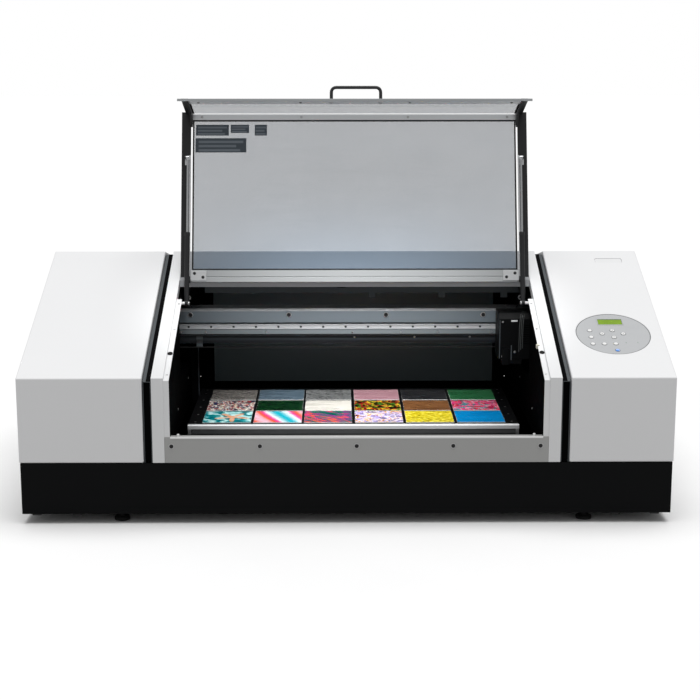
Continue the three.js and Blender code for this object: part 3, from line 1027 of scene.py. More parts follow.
# near-black for the bay's liners, sleeves and posts, and painted shade in vents, openings, the grooves and
# under the rear wall
BLACK_AND_PAINTED_SHADE = Coated("inner_black", (0.0011, 0.0012, 0.0014), 0.6, 0.75, 900.0, 0.25, 0.05, 0.03)
CARRIAGE_BLACK = Coated("carriage_black", (0.0022, 0.0024, 0.0027), 0.35, 0.5, 900.0, 0.3, 0.06, 0.12)
SLATE = Coated("slate_coat", (0.055, 0.064, 0.070), 0.32, 0.44, 900.0, 0.1, 0.05)
WALL_SLATE = Coated("wall_slate", (0.145, 0.185, 0.20), 0.35, 0.45, 900.0, 0.15, 0.05, 0.5)
APRON_GREY = Coated("apron_grey", (0.40, 0.40, 0.392), 0.36, 0.46, 1100.0, 0.06, 0.05)
BEAM_SLATE = Metal("beam_slate", (0.15, 0.178, 0.20), 0.32, 0.42, 0.35, 400.0, 0.1, 0.04)
STEEL = Metal("ground_steel", (0.55, 0.56, 0.57), 0.2, 0.32, 1.0, 900.0, 0.12, 0.03)
RAIL_STEEL = Metal("rail_steel", (0.43, 0.44, 0.455), 0.34, 0.46, 0.3, 900.0, 0.1, 0.03)
SCREW_STEEL = Metal("screw_steel", (0.6, 0.6, 0.6), 0.25, 0.35, 1.0, 2000.0, 0.1, 0.02)
BLACK_SCREW = Coated("black_oxide", (0.010, 0.010, 0.011), 0.3, 0.45, 2500.0, 0.3, 0.05)
ALUMINIUM = Metal("aluminium", (0.72, 0.73, 0.74), 0.3, 0.42, 0.85, 500.0, 0.1, 0.03)
PALE_ALUMINIUM = Metal("pale_aluminium", (0.78, 0.79, 0.80), 0.42, 0.55, 0.35, 500.0, 0.06, 0.03)
DARK_ANODISED = Metal("dark_anodised", (0.006, 0.0062, 0.0066), 0.42, 0.55, 0.3, 600.0, 0.2, 0.05)
# ribbed dark bar whose rib crests carry painted highlights
KNURL = Knurled("knurled_bar", (0.085, 0.088, 0.090))
# grey of the saddle and the idler block; on the rings round the control disc and the keys it is painted shade
# of the gaps
GREY_COAT_AND_GAP_SHADE = Coated("grey_coat", (0.22, 0.225, 0.23), 0.4, 0.5, 900.0, 0.1, 0.05)
RUBBER = Coated("rubber", (0.011, 0.011, 0.011), 0.7, 0.85, 1500.0, 0.3, 0.12, 0.25)
CREAM = Coated("cream_plastic", (0.62, 0.60, 0.50), 0.4, 0.5, 1800.0, 0.05, 0.03)
BLACK_PLASTIC = Coated("black_plastic", (0.011, 0.0115, 0.0125), 0.42, 0.56, 2200.0, 0.25, 0.08)
PANEL_GREY = Metal("panel_grey", (0.47, 0.48, 0.49), 0.36, 0.46, 0.15, 700.0, 0.05, 0.02)
KEY_WHITE = Coated("key_white", (0.82, 0.82, 0.815), 0.36, 0.46, 2500.0, 0.03, 0.03)
KEY_MARK = Coated("key_mark", (0.05, 0.052, 0.056), 0.45, 0.55, 2500.0, 0.1, 0.03)
KEY_BLUE = Lamp("key_blue", (0.02, 0.17, 0.55), 0.4)
LED_GREEN = Lamp("indicator", (0.20, 0.30, 0.20), 0.1)
LCD = Display("lcd", (0.205, 0.337, 0.015))
SMOKED = Acrylic("smoked_sheet", (0.085, 0.135, 0.195), 0.37)
LABEL_FILM = Coated("label_film", (0.045, 0.060, 0.075), 0.3, 0.4, 1500.0, 0.15, 0.02)
LABEL_LINE = Coated("label_line", (0.14, 0.165, 0.19), 0.3, 0.4, 1500.0, 0.15, 0.02)
LABEL_WHITE = Coated("label_white", (0.6, 0.61, 0.62), 0.35, 0.45, 1500.0, 0.05, 0.02)
HOSE_SMOKED = Coated("hose_smoked", (0.05, 0.053, 0.053), 0.2, 0.3, 1500.0, 0.1, 0.02)
BOARD_WHITE = Coated("board_white", (0.42, 0.42, 0.41), 0.4, 0.5, 1800.0, 0.04, 0.03)


# ------------------------------------------------------------------ small parts
FORWARD = Vector((0, -1, 0))
BACKWARD = Vector((0, 1, 0))
UPWARD = Vector((0, 0, 1))
ROOF_NORMAL = Vector((0, -math.sin(ROOF_ANGLE), math.cos(ROOF_ANGLE)))


def screw(name: str, foot: Point, axis: Vector = FORWARD, radius: float = 4.0, height: float = 2.2,
          steps: int = 16) -> Piece:
    """A button-head screw with a round socket.

    Args:
        name: The piece's name.
        foot: Middle of the face that it sits on, in mm.
        axis: Direction that its head looks.
        radius: Head radius in mm.
        height: Head height in mm.
        steps: Sides of the head.

    Returns:
        The screw.
    """
    profile = [(radius, 0), (radius, 0.4 * height), (0.86 * radius, 0.82 * height), (0.56 * radius, height),
               (0.46 * radius, height), (0.4 * radius, 0.35 * height)]
    return turned(name, profile, foot, axis, steps)


def beside(sign: int, near: float, far: float) -> Pair:
    """The x span between two distances from the bay's middle, to the left for sign -1 and right for 1."""
    first, second = sorted((BAY_X + sign * near, BAY_X + sign * far))
    return (first, second)


def lie_on_roof(piece: Piece, about: Point) -> None:
    """Turns a level piece about a point of the roof so that it lies along the slope."""
    to = Matrix.Translation(spot(*about))
    piece.data.transform(to @ Matrix.Rotation(ROOF_ANGLE, 4, "X") @ to.inverted())


def gantry_hole(name: str, x: Pair, inset: float = 0.0, past: float = 0.0) -> Piece:
    """A block as large as the walls' opening for the gantry.

    Args:
        name: The piece's name.
        x: Its x span in mm.
        inset: How much smaller it is all round, in mm.
        past: How far it reaches past the span at both ends, in mm.

    Returns:
        The new piece.
    """
    front, rear, bottom, top = GANTRY_HOLE
    low = (x[0] - past, front + inset, bottom + inset)
    return block(name, low, (x[1] + past, rear - inset, top - inset), 0)


def cabinet_outline(wall: float = 0.0, bottom: float = 152.0) -> list[Pair]:
    """The cabinet's side outline.

    Args:
        wall: How far all walls are moved in, in mm.
        bottom: Height of the lower edge, in mm.

    Returns:
        Points (y, z) in mm.
    """
    slant = wall / math.cos(ROOF_ANGLE)
    return [(wall, bottom), (DEPTH - wall, bottom), (DEPTH - wall, REAR_Z - slant),
            (RIDGE_Y, RIDGE_Z - slant), (wall, roof_line(wall, slant))]


@dataclass
class Base:
    """The black tray that the machine stands in, with its feet and stop blocks."""

    stop_places: tuple[float, ...] = (-745.0, -648.0, 647.0, 742.0)
    stop_half: float = 11.0
    foot_profile: tuple[Pair, ...] = (
        (16, 0), (18.4, 0.8), (19, 2.4), (19, 7), (17.5, 8.6), (14, 10), (10, 10.6), (10, 12), (7.2, 12),
        (7.2, 24.6))
    nut_profile: tuple[Pair, ...] = ((11, 16.5), (12, 17.2), (12, 23.6), (11, 24.6))

    def build(self) -> None:
        """Builds and dresses the tray, the feet, their nuts and the stop blocks."""
        restore("base_tray", "base_shell", 0.9, 2, Body.CABINET, BASE_BLACK)
        for end in ("front", "rear"):
            for side in ("left", "right"):
                node = f"foot_{end}_{side}"
                low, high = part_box(node)
                x, y = (low.x + high.x) / 2 / MM, (low.y + high.y) / 2 / MM + HALF_DEPTH
                foot = turned(f"{node}_pad", self.foot_profile, (x, y, 0), steps=40)
                place(foot, Body.CABINET, RUBBER, [node])
                nut = turned(f"{node}_nut", self.nut_profile, (x, y, 0), steps=6)
                place(nut, Body.CABINET, SCREW_STEEL)
        stops = []
        for index, x in enumerate(self.stop_places):
            for end, y in (("front", 26.0), ("rear", 918.0)):
                low, high = (x - self.stop_half, y - 14, 18.5), (x + self.stop_half, y + 14, 25.2)
                stops.append(block(f"stop_{end}_{index}", low, high, 1.6))
        place(weld("base_stop_blocks", *stops), Body.CABINET, BLACK_PLASTIC)
        self.build_skirt()

    def build_skirt(self) -> None:
        """Adds the screws along the sides and the back of the tray."""
        heads = []
        for side in (-1, 1):
            for index, y in enumerate((60, 340, 620, 895)):
                foot = (side * 777.8, y, 132)
                heads.append(screw(f"tray_side_{side}_{index}", foot, Vector((side, 0, 0)), 3.6, 1.8))
        for index, x in enumerate((-740, -440, -150, 150, 440, 740)):
            heads.append(screw(f"tray_rear_{index}", (x, 952.8, 132), BACKWARD, 3.6, 1.8))
        place(weld("tray_screws", *heads), Body.CABINET, BLACK_SCREW)


@dataclass
class Housings:
    """The white cover at each side of the machine."""

    half_width: float = 780.0
    inner_half: float = 507.3
    wall: float = 5.0
    edge: float = 3.2
    panel_x: float = 657.5
    panel_slope: float = 191.5

    def shell(self, name: str, x0: float, x1: float) -> Piece:
        """One hollow housing between two x places.

        Args:
            name: The piece's name.
            x0: Left side in mm.
            x1: Right side in mm.

        Returns:
            The housing with its rounded outer edges.
        """
        outer = prism(name, cabinet_outline(), x0, x1, self.edge, 4)
        hollow = prism("hollow", cabinet_outline(self.wall, 140), x0 + self.wall, x1 - self.wall, 0)
        return carve(outer, hollow)

    def build(self) -> None:
        """Builds both housings, the grip and the screws."""
        inner = BAY_X - self.inner_half
        left = self.shell("housing_left_shell", -self.half_width, inner)
        carve(left, gantry_hole("opening", (inner - self.wall, inner), past=2))
        place(left, Body.CABINET, SHELL, ["left_housing"])

        inner = BAY_X + self.inner_half
        right = self.shell("housing_right_shell", inner, self.half_width)
        carve(right, gantry_hole("opening", (inner, inner + self.wall), past=2))
        seat = on_roof(self.panel_x, self.panel_slope)
        carve(right, turned("recess", [(92, -3), (92, 6)], seat, ROOF_NORMAL, 96))
        carve(right, self.grip_cutter(3.4, 36, 12))
        carve(right, block("inlet_hole", (636, 940, 170), (684, 960, 260), 0))
        place(right, Body.CABINET, SHELL, ["right_housing"])
        cup = self.grip_cutter(3.0, 35.2, 11.2)
        cup.data.transform(Matrix.Translation(ROOF_NORMAL * -1.9 * MM))
        place(named(cup, "housing_grip"), Body.CABINET, SHEET_WHITE)
        self.add_screws()

    def grip_cutter(self, depth: float, half_x: float, half_y: float) -> Piece:
        """A pill-shaped block lying in the roof, for the grip's recess or its insert.

        Args:
            depth: How deep it reaches below the roof, in mm.
            half_x: Half its length in mm.
            half_y: Half its width in mm.

        Returns:
            The new piece.
        """
        x, y, z = on_roof(700.5, 553.7)
        grip = block("grip", (x - half_x, y - half_y, z - depth), (x + half_x, y + half_y, z + 1.2), 0)
        pick_faces(grip, lambda middle, normal: abs(normal.z) < 0.5)
        bpy.ops.mesh.select_mode(type="EDGE")
        bpy.ops.mesh.select_all(action="DESELECT")
        bpy.ops.object.mode_set(mode="OBJECT")
        for edge in grip.data.edges:
            a, b = (grip.data.vertices[v].co for v in edge.vertices)
            edge.select = abs(a.z - b.z) > depth * MM * 0.5
        bpy.ops.object.mode_set(mode="EDIT")
        bpy.ops.mesh.bevel(offset=min(half_y * 0.7, 6) * MM, segments=5, affect="EDGES")
        bpy.ops.object.mode_set(mode="OBJECT")
        lie_on_roof(grip, (x, y, z))
        return soften(grip, 0)

    def add_screws(self) -> None:
        """Adds the screws that hold the housings, low on the sides and at the back."""
        heads = []
        for side in (-1, 1):
            for index, y in enumerate((70, 480, 885)):
                foot = (side * self.half_width, y, 172)
                heads.append(screw(f"side_{side}_{index}", foot, Vector((side, 0, 0)), 4.2, 2.0))
            for index, (x, z) in enumerate(((560, 185), (740, 185), (560, 470), (740, 470))):
                heads.append(screw(f"rear_{side}_{index}", (side * x, DEPTH, z), BACKWARD, 4.2, 2.0))
        place(weld("housing_screws", *heads), Body.CABINET, BLACK_SCREW)


@dataclass
class Controls:
    """The round control panel on the right housing: display, keys and indicator lights."""

    x: float = 657.5
    slope: float = 191.5
    key_radius: float = 5.2
    key_top: float = 1.0
    keys: dict[str, Pair] = field(default_factory=lambda: {
        "button_menu": (-56, 15), "button_left": (-27, 0), "button_up": (0, 15), "button_right": (25, 0),
        "button_function": (-56, -15), "button_down": (0, -16), "button_base": (-56, -45),
        "button_pause": (-28, -45), "button_enter": (0, -45), "button_power": (0, -73.5)})
    arrows: dict[str, float] = field(default_factory=lambda: {
        "button_up": 0.0, "button_left": 90.0, "button_down": 180.0, "button_right": -90.0})

    def at(self, u: float, v: float, up: float = 0.0) -> Point:
        """A point of the panel, counted from its middle."""
        return on_roof(self.x + u, self.slope + v, up)

    def build(self) -> None:
        """Builds the disc, the display's frame, the keys and the lights."""
        restore("control_panel", "control_disc", 0.25, 2, Body.CABINET, PANEL_GREY)
        # a thin darker grey ring over the gap round the disc: painted shade, the dark outline under the
        # recess's edge
        profile = [(91.6, -0.9), (91.6, -0.2), (90.6, 0.1), (89.6, -0.2)]
        rim = turned("control_rim", profile, self.at(0, 0), ROOF_NORMAL, 96)
        carve(rim, turned("bore", [(89.7, -3), (89.7, 3)], self.at(0, 0), ROOF_NORMAL, 96))
        place(rim, Body.CABINET, GREY_COAT_AND_GAP_SHADE)
        restore("lcd_window", "display_glass", 0.2, 1, Body.CABINET, LCD)
        self.build_bezel()
        for name, (u, v) in self.keys.items():
            self.build_key(name, u, v)
        profile = [(1.6, -0.6), (1.6, 0.1), (1.1, 0.5), (0.5, 0.62)]
        lights = [turned(f"light_{u}", profile, self.at(u, -40), ROOF_NORMAL, 16) for u in (26, 55)]
        place(weld("indicator_lights", *lights), Body.CABINET, LED_GREEN)

    def build_bezel(self) -> None:
        """Builds the display's thin frame."""
        bars = []
        x, y, z = self.at(0, 55)
        sides = ((-32.4, -30.2, -14.4, 14.4), (30.2, 32.4, -14.4, 14.4), (-30.2, 30.2, 12.3, 14.4),
                 (-30.2, 30.2, -14.4, -12.3))
        for index, (a, b, c, d) in enumerate(sides):
            bars.append(block(f"bezel_{index}", (x + a, y + c, z - 0.5), (x + b, y + d, z + 0.25), 0.2, 1))
        bezel = weld("display_bezel", *bars)
        lie_on_roof(bezel, (x, y, z))
        place(bezel, Body.CABINET, PANEL_GREY)

    def build_key(self, name: str, u: float, v: float) -> None:
        """Builds one key with its ring and, on the direction keys, its arrow. The ring's darker grey is
        painted shade in the gap round the key.

        Args:
            name: The key's body and node.
            u: Its place across the panel, in mm from the middle.
            v: Its place up the panel, likewise.
        """
        r, top, seat = self.key_radius, self.key_top, self.at(u, v)
        profile = [(r - 0.3, -0.7), (r, -0.4), (r, top - 0.5), (r - 0.4, top - 0.12), (r - 1.4, top),
                   (r * 0.5, top - 0.1)]
        key = turned(f"{name}_cap", profile, seat, ROOF_NORMAL, 32)
        lit = name == "button_power"
        place(key, name, KEY_BLUE if lit else KEY_WHITE, [name])
        # the sunk ring in the gap round the key is darker grey: painted shade of the gap
        profile = [(r + 1.7, -0.55), (r + 1.7, -0.3), (r + 1.4, -0.2), (r + 0.7, -0.25)]
        ring = turned(f"{name}_ring", profile, seat, ROOF_NORMAL, 32)
        carve(ring, turned("bore", [(r + 0.8, -2), (r + 0.8, 1)], seat, ROOF_NORMAL, 32))
        place(ring, Body.CABINET, GREY_COAT_AND_GAP_SHADE)
        if name in self.arrows:
            mark = turned(f"{name}_mark", [(2.1, 0), (2.0, 0.16), (1.6, 0.2)], (0, HALF_DEPTH, 0), steps=3)
            lie = Matrix.Translation(spot(*self.at(u, v, top - 0.1))) @ Matrix.Rotation(ROOF_ANGLE, 4, "X")
            mark.data.transform(lie @ Matrix.Rotation(math.radians(self.arrows[name]), 4, "Z"))
            place(mark, name, KEY_MARK)


@dataclass
class SideWalls:
    """The walls beside the print bay: white panels with the cover's seat, dark frames, liners and stops."""

    liner_half: float = 455.2
    stop_half: float = 450.2
    stop_places: Pair = (109.3, 111.3)
    seat_drop: float = 7.0

    def build(self) -> None:
        """Builds the walls and all that is fixed to them."""
        for side in ("left", "right"):
            wall, frame = f"{side}_side_panel", f"{side}_side_frame"
            restore(wall, f"bay_wall_{side}", 0.8, 2, Body.CABINET, SHEET_WHITE)
            restore(frame, f"bay_frame_{side}", 0.6, 2, Body.CABINET, SLATE)
            self.build_liner(side)
        self.build_stops()
        self.build_groove_fronts()

    def build_liner(self, side: str) -> None:
        """Builds the black inner skin of one bay wall and the sleeve in its opening.

        Args:
            side: left or right.
        """
        sign = -1 if side == "left" else 1
        spots = ((949, 22), (RIDGE_Y, 22), (347, 22), (347, 12), (8, 12))
        outline = [(8, 155), (949, 155)] + [(y, roof_line(y, drop)) for y, drop in spots]
        ends = beside(sign, self.liner_half, self.liner_half + 1.0)
        liner = prism(f"bay_liner_{side}", outline, *ends, 0)
        carve(liner, gantry_hole("hole", ends, 1, 2))
        place(liner, Body.CABINET, BLACK_AND_PAINTED_SHADE)
        ends = beside(sign, self.liner_half + 0.3, 506.8)
        sleeve = gantry_hole(f"window_sleeve_{side}", ends, 0.2)
        carve(sleeve, gantry_hole("hole", ends, 1, 2))
        place(sleeve, Body.CABINET, BLACK_AND_PAINTED_SHADE)

    def build_groove_fronts(self) -> None:
        """Builds the black strips that close the front of the grooves and line their inner half. Their
        near-black is painted shade of the deep grooves.
        """
        for side, sign in (("left", -1), ("right", 1)):
            # near-black sheet over the inner half of the groove: painted shade of the deep groove
            top = [(2, roof_line(2, 8.9)), (RIDGE_Y, RIDGE_Z - 8.9), (DEPTH - 3, roof_line(DEPTH - 3, 8.9))]
            low = [(y, z + 0.7) for y, z in reversed(top)]
            shade_sheet = prism(f"groove_lining_{side}", top + low, *beside(sign, 486.4, 497.6), 0)
            place(shade_sheet, Body.CABINET, BLACK_AND_PAINTED_SHADE)
            # near-black strip across the groove's front: painted shade of its depth
            ends = beside(sign, 487.6, 504.2)
            strip = block(f"groove_front_{side}", (ends[0], 5.5, 156), (ends[1], 7.5, 346), 0.4)
            place(strip, Body.CABINET, BLACK_AND_PAINTED_SHADE)

    def build_stops(self) -> None:
        """Builds the rubber stops, the interlock and the wall's screws."""
        profile = [(5.8, 0), (6.2, 0.4), (6.2, 1.7), (5.5, 2.3), (2.6, 2.6)]
        for side, sign, y in zip(("left", "right"), (-1, 1), self.stop_places):
            foot = (BAY_X + sign * self.stop_half, y, roof_line(y, self.seat_drop))
            stop = turned(f"cover_stop_{side}", profile, foot, ROOF_NORMAL, 28)
            place(stop, Body.CABINET, RUBBER)
        y = 144.0
        seat = roof_line(y, self.seat_drop)
        low, high = (BAY_X + 439.9, y - 6, seat - 9.7), (BAY_X + 448.5, y + 6, seat + 0.6)
        body = block("interlock", low, high, 1.6, 3)
        place(body, Body.CABINET, CREAM)
        low, high = (low[0] + 3, y - 6.3, seat - 6.2), (high[0] - 3, y - 5.6, seat - 1.2)
        slot = block("interlock_slot", low, high, 0.3)
        place(slot, Body.CABINET, BLACK_PLASTIC)
        heads = []
        for sign in (-1, 1):
            for y in (24, 210, 322):
                foot = (BAY_X + sign * 449.5, y, roof_line(y, self.seat_drop))
                heads.append(screw(f"seat_{sign}_{y}", foot, ROOF_NORMAL, 3.0, 1.4))
            for y, z in ((60, 190), (60, 330), (300, 210), (567, 234), (700, 330)):
                foot = (BAY_X + sign * self.liner_half, y, z)
                heads.append(screw(f"wall_{sign}_{y}_{z}", foot, Vector((-sign, 0, 0)), 3.4, 1.6))
        place(weld("bay_wall_screws", *heads), Body.CABINET, SCREW_STEEL)


@dataclass
class Apron:
    """The grey sheet across the front under the cover."""

    screws: tuple[float, ...] = (-416.9, -206.8, 23.3, 252.9, 460.9)
    screw_height: float = 192.6
    pins: Pair = (-401.4, 446.0)

    def build(self) -> None:
        """Builds the sheet, its rim, screws and pins. The rim is near-white, a painted highlight along the
        sheet's top edge.
        """
        restore("front_apron", "apron_sheet", 0.7, 2, Body.CABINET, APRON_GREY)
        # the rim: a thin lip in near-white, a painted highlight along the apron's top edge
        outline = [(-0.5, 211.2), (-0.1, 211.2), (0.4, 214.9), (1.2, 215.4), (1.2, 215.7), (-0.1, 215.5),
                   (-0.5, 214.8)]
        rim = prism("apron_rim", outline, -419.5, 466.5, 0)
        place(rim, Body.CABINET, APRON_RIM_HIGHLIGHT)
        head = screw("head", (0, 0.0, 0), FORWARD, 5.0, 2.4, 20)
        heads = row_of(head, "apron_screws", [(x, 0, self.screw_height) for x in self.screws])
        place(heads, Body.CABINET, BLACK_SCREW)
        washer = turned("washer", [(6.4, 0), (6.4, 0.5), (6.0, 0.7)], (0, 0.0, 0), FORWARD, 24)
        place(row_of(washer, "apron_washers", [(x, 0, self.screw_height) for x in self.screws]),
              Body.CABINET, SCREW_STEEL)
        pin = turned("pin", [(3.2, 0), (3.2, 4.2), (2.4, 5.4), (1.2, 5.8)], (0, 9, 215), UPWARD, 20)
        pins = row_of(pin, "apron_pins", [(x, 0, 0) for x in self.pins])
        place(pins, Body.CABINET, KEY_WHITE)


@dataclass
class Deck:
    """The deck behind the hinge, its stiffener and the rear wall of the bay."""

    band_screws: tuple[float, ...] = (-330, -180, 70, 180, 255, 330, 420)

    def build(self) -> None:
        """Builds the deck, the stiffener with its holes, the rear wall and the posts. The stiffener's hole is
        a near-black block, painted shade of the opening.
        """
        restore("rear_deck", "deck_sheet", 0.8, 2, Body.CABINET, DECK_GREY)
        restore("deck_stiffener", "deck_band", 0.4, 1, Body.CABINET, BAND_SLATE)
        # a near-black block on the stiffener: painted shade of its opening
        hole = block("band_hole", (-22, 476.4, 497), (0, 478.4, 512), 0.5)
        place(named(hole, "band_opening"), Body.CABINET, BLACK_AND_PAINTED_SHADE)
        heads = [screw(f"band_{x}", (x, 478, 504), FORWARD, 3.0, 1.6) for x in self.band_screws]
        place(weld("band_screws", *heads), Body.CABINET, BLACK_SCREW)
        restore("bay_rear_wall", "rear_wall_sheet", 0.6, 1, Body.CABINET, WALL_SLATE)
        self.build_posts()
        self.build_cables()

    def build_cables(self) -> None:
        """Builds the short cable and its steel clip at each end of the stiffener."""
        rings, cables = [], []
        for sign in (-1, 1):
            x = BAY_X + sign * 439
            foot = (x, 470, 471.7)
            profile = [(6.0, -1.5), (6.5, -0.7), (6.5, 0.7), (6.0, 1.5)]
            ring = turned(f"clip_{sign}", profile, foot, FORWARD, 28)
            rings.append(carve(ring, turned("bore", [(3.2, -4), (3.2, 4)], foot, FORWARD, 24)))
            points = [(BAY_X + sign * 428, 474, 533), (BAY_X + sign * 433, 471, 505), (x, 474.5, 474),
                      (x - sign * 2, 486, 452), (x - sign * 5, 503, 440)]
            cables.append(tube(f"cable_{sign}", points, 1.6, 3))
        place(weld("cable_clips", *rings), Body.CABINET, SCREW_STEEL)
        place(weld("bay_cables", *cables), Body.CABINET, RUBBER)

    def build_posts(self) -> None:
        """Builds the upright posts at the corners of the bay's back."""
        left = prism("bay_post_left", square((600, 618), (158, 334)), -424, -404.5, 0.8)
        place(left, Body.CABINET, BLACK_AND_PAINTED_SHADE)
        edge = block("bay_post_edge", (-406.2, 598.6, 160), (-403.4, 600.2, 333), 0.4)
        place(edge, Body.CABINET, CHANNEL_BLACK)
        # near-black sheet inside the back panel: it stops stray light and paints the shade below the rear
        # wall
        shade_sheet = block("bay_back_lining", (-431, 946.8, 139), (478, 948.8, 480), 0.4)
        place(shade_sheet, Body.CABINET, BLACK_AND_PAINTED_SHADE)
        right = prism("bay_post_right", square((846, 864), (158, 470)), 432.5, 450, 0.8)
        place(right, Body.CABINET, BLACK_AND_PAINTED_SHADE)


@dataclass
class Gantry:
    """The slate beam with its linear rail, belt, pulleys and motor."""

    face: float = 502.0
    hex_screws: tuple[float, ...] = (-414.4, -152.0, 107.9, 368.1)
    small_screws: tuple[float, ...] = (-441.4, -374.3, -212.4, 18.1, 147.9, 246.3, 391.0)
    white_screws: tuple[float, ...] = (23.0, 185.3, 334.3)
    strip_span: Pair = (-560, 610)
    rail_pitch: float = 60.0
    rail_bolts: int = 21

    def build(self) -> None:
        """Builds the beam and all that runs along it."""
        restore("gantry_beam", "beam", 0.5, 2, Body.CABINET, BEAM_SLATE)
        # a lighter grey chamfer along the beam's top front edge: a painted highlight of its lit top
        outline = [(501.4, 429.5), (501.4, 430.8), (506.8, 436.6), (507.6, 436.2)]
        strip = prism("beam_top_strip", outline, *self.strip_span, 0)
        place(strip, Body.CABINET, PALE_EDGE_AND_HIGHLIGHT)
        self.build_rail()
        self.build_strips()
        self.build_screws()
        self.build_belt()

    def build_rail(self) -> None:
        """Builds the rail with its sunk bolts."""
        outline = [(499, 381.5), (513.7, 381.5), (513.7, 393.5), (499, 393.5), (499, 391.2), (500.4, 389.8),
                   (500.4, 385.2), (499, 383.8)]
        rail = prism("rail", outline, -620, 670, 0.2, 1)
        place(rail, Body.CABINET, RAIL_STEEL, ["linear_rail"])
        profile = [(3.3, 0), (3.3, 0.35), (2.7, 0.5), (1.9, 0.5), (1.6, 0.1)]
        bolt = turned("bolt", profile, (0, 500.4, 387.5), FORWARD, 14)
        places = [(-600 + index * self.rail_pitch, 0, 0) for index in range(self.rail_bolts)]
        place(row_of(bolt, "rail_bolts", places), Body.CABINET, BLACK_SCREW)

    def build_strips(self) -> None:
        """Builds the grey wiring strip, the dark channel below it and the bracket at its left end."""
        strip = prism("beam_strip", square((500.6, 501.9), (365, 380)), *self.strip_span, 0.3, 1)
        place(strip, Body.CABINET, STRIP_GREY)
        channel = prism("beam_channel", square((512.6, 513.6), (341, 361)), *self.strip_span, 0)
        place(channel, Body.CABINET, CHANNEL_BLACK)
        bracket = prism("beam_bracket", square((509.5, 512.4), (331, 363)), -401, -384, 0.6)
        place(bracket, Body.CABINET, SLATE)

    def build_screws(self) -> None:
        """Builds the beam's rows of screws."""
        seat = (0, self.face, 419.7)
        cap = turned("cap", [(5.2, 0), (5.2, 3.4), (4.8, 3.9), (3.0, 3.9), (2.8, 1.2)], seat, FORWARD, 20)
        ring = turned("ring", [(7.0, 0), (7.0, 0.7), (6.4, 1.0)], seat, FORWARD, 24)
        small = screw("small", (0, 500.6, 372.5), FORWARD, 2.8, 1.4, 12)
        pale = screw("pale", (0, 512.6, 357), FORWARD, 2.8, 1.6, 12)
        for head, name, places, finish in ((cap, "beam_bolts", self.hex_screws, BLACK_SCREW),
                                           (ring, "beam_washers", self.hex_screws, SCREW_STEEL),
                                           (small, "strip_screws", self.small_screws, SCREW_STEEL),
                                           (pale, "channel_screws", self.white_screws, SCREW_STEEL)):
            place(row_of(head, name, [(x, 0, 0) for x in places]), Body.CABINET, finish)

    def build_belt(self) -> None:
        """Dresses the belt and the drive at the beam's ends."""
        dress("drive_belt", RUBBER)
        for name, body in (("drive_pulley", Body.DRIVE_PULLEY), ("idler_pulley", Body.IDLER_PULLEY)):
            restore(name, f"{name}_wheel", 0.3, 1, body, ALUMINIUM)
        restore("drive_motor", "motor_body", 1.6, 2, Body.CABINET, BLACK_PLASTIC)
        restore("idler_bracket", "idler_block", 1.0, 2, Body.CABINET, GREY_COAT_AND_GAP_SHADE)


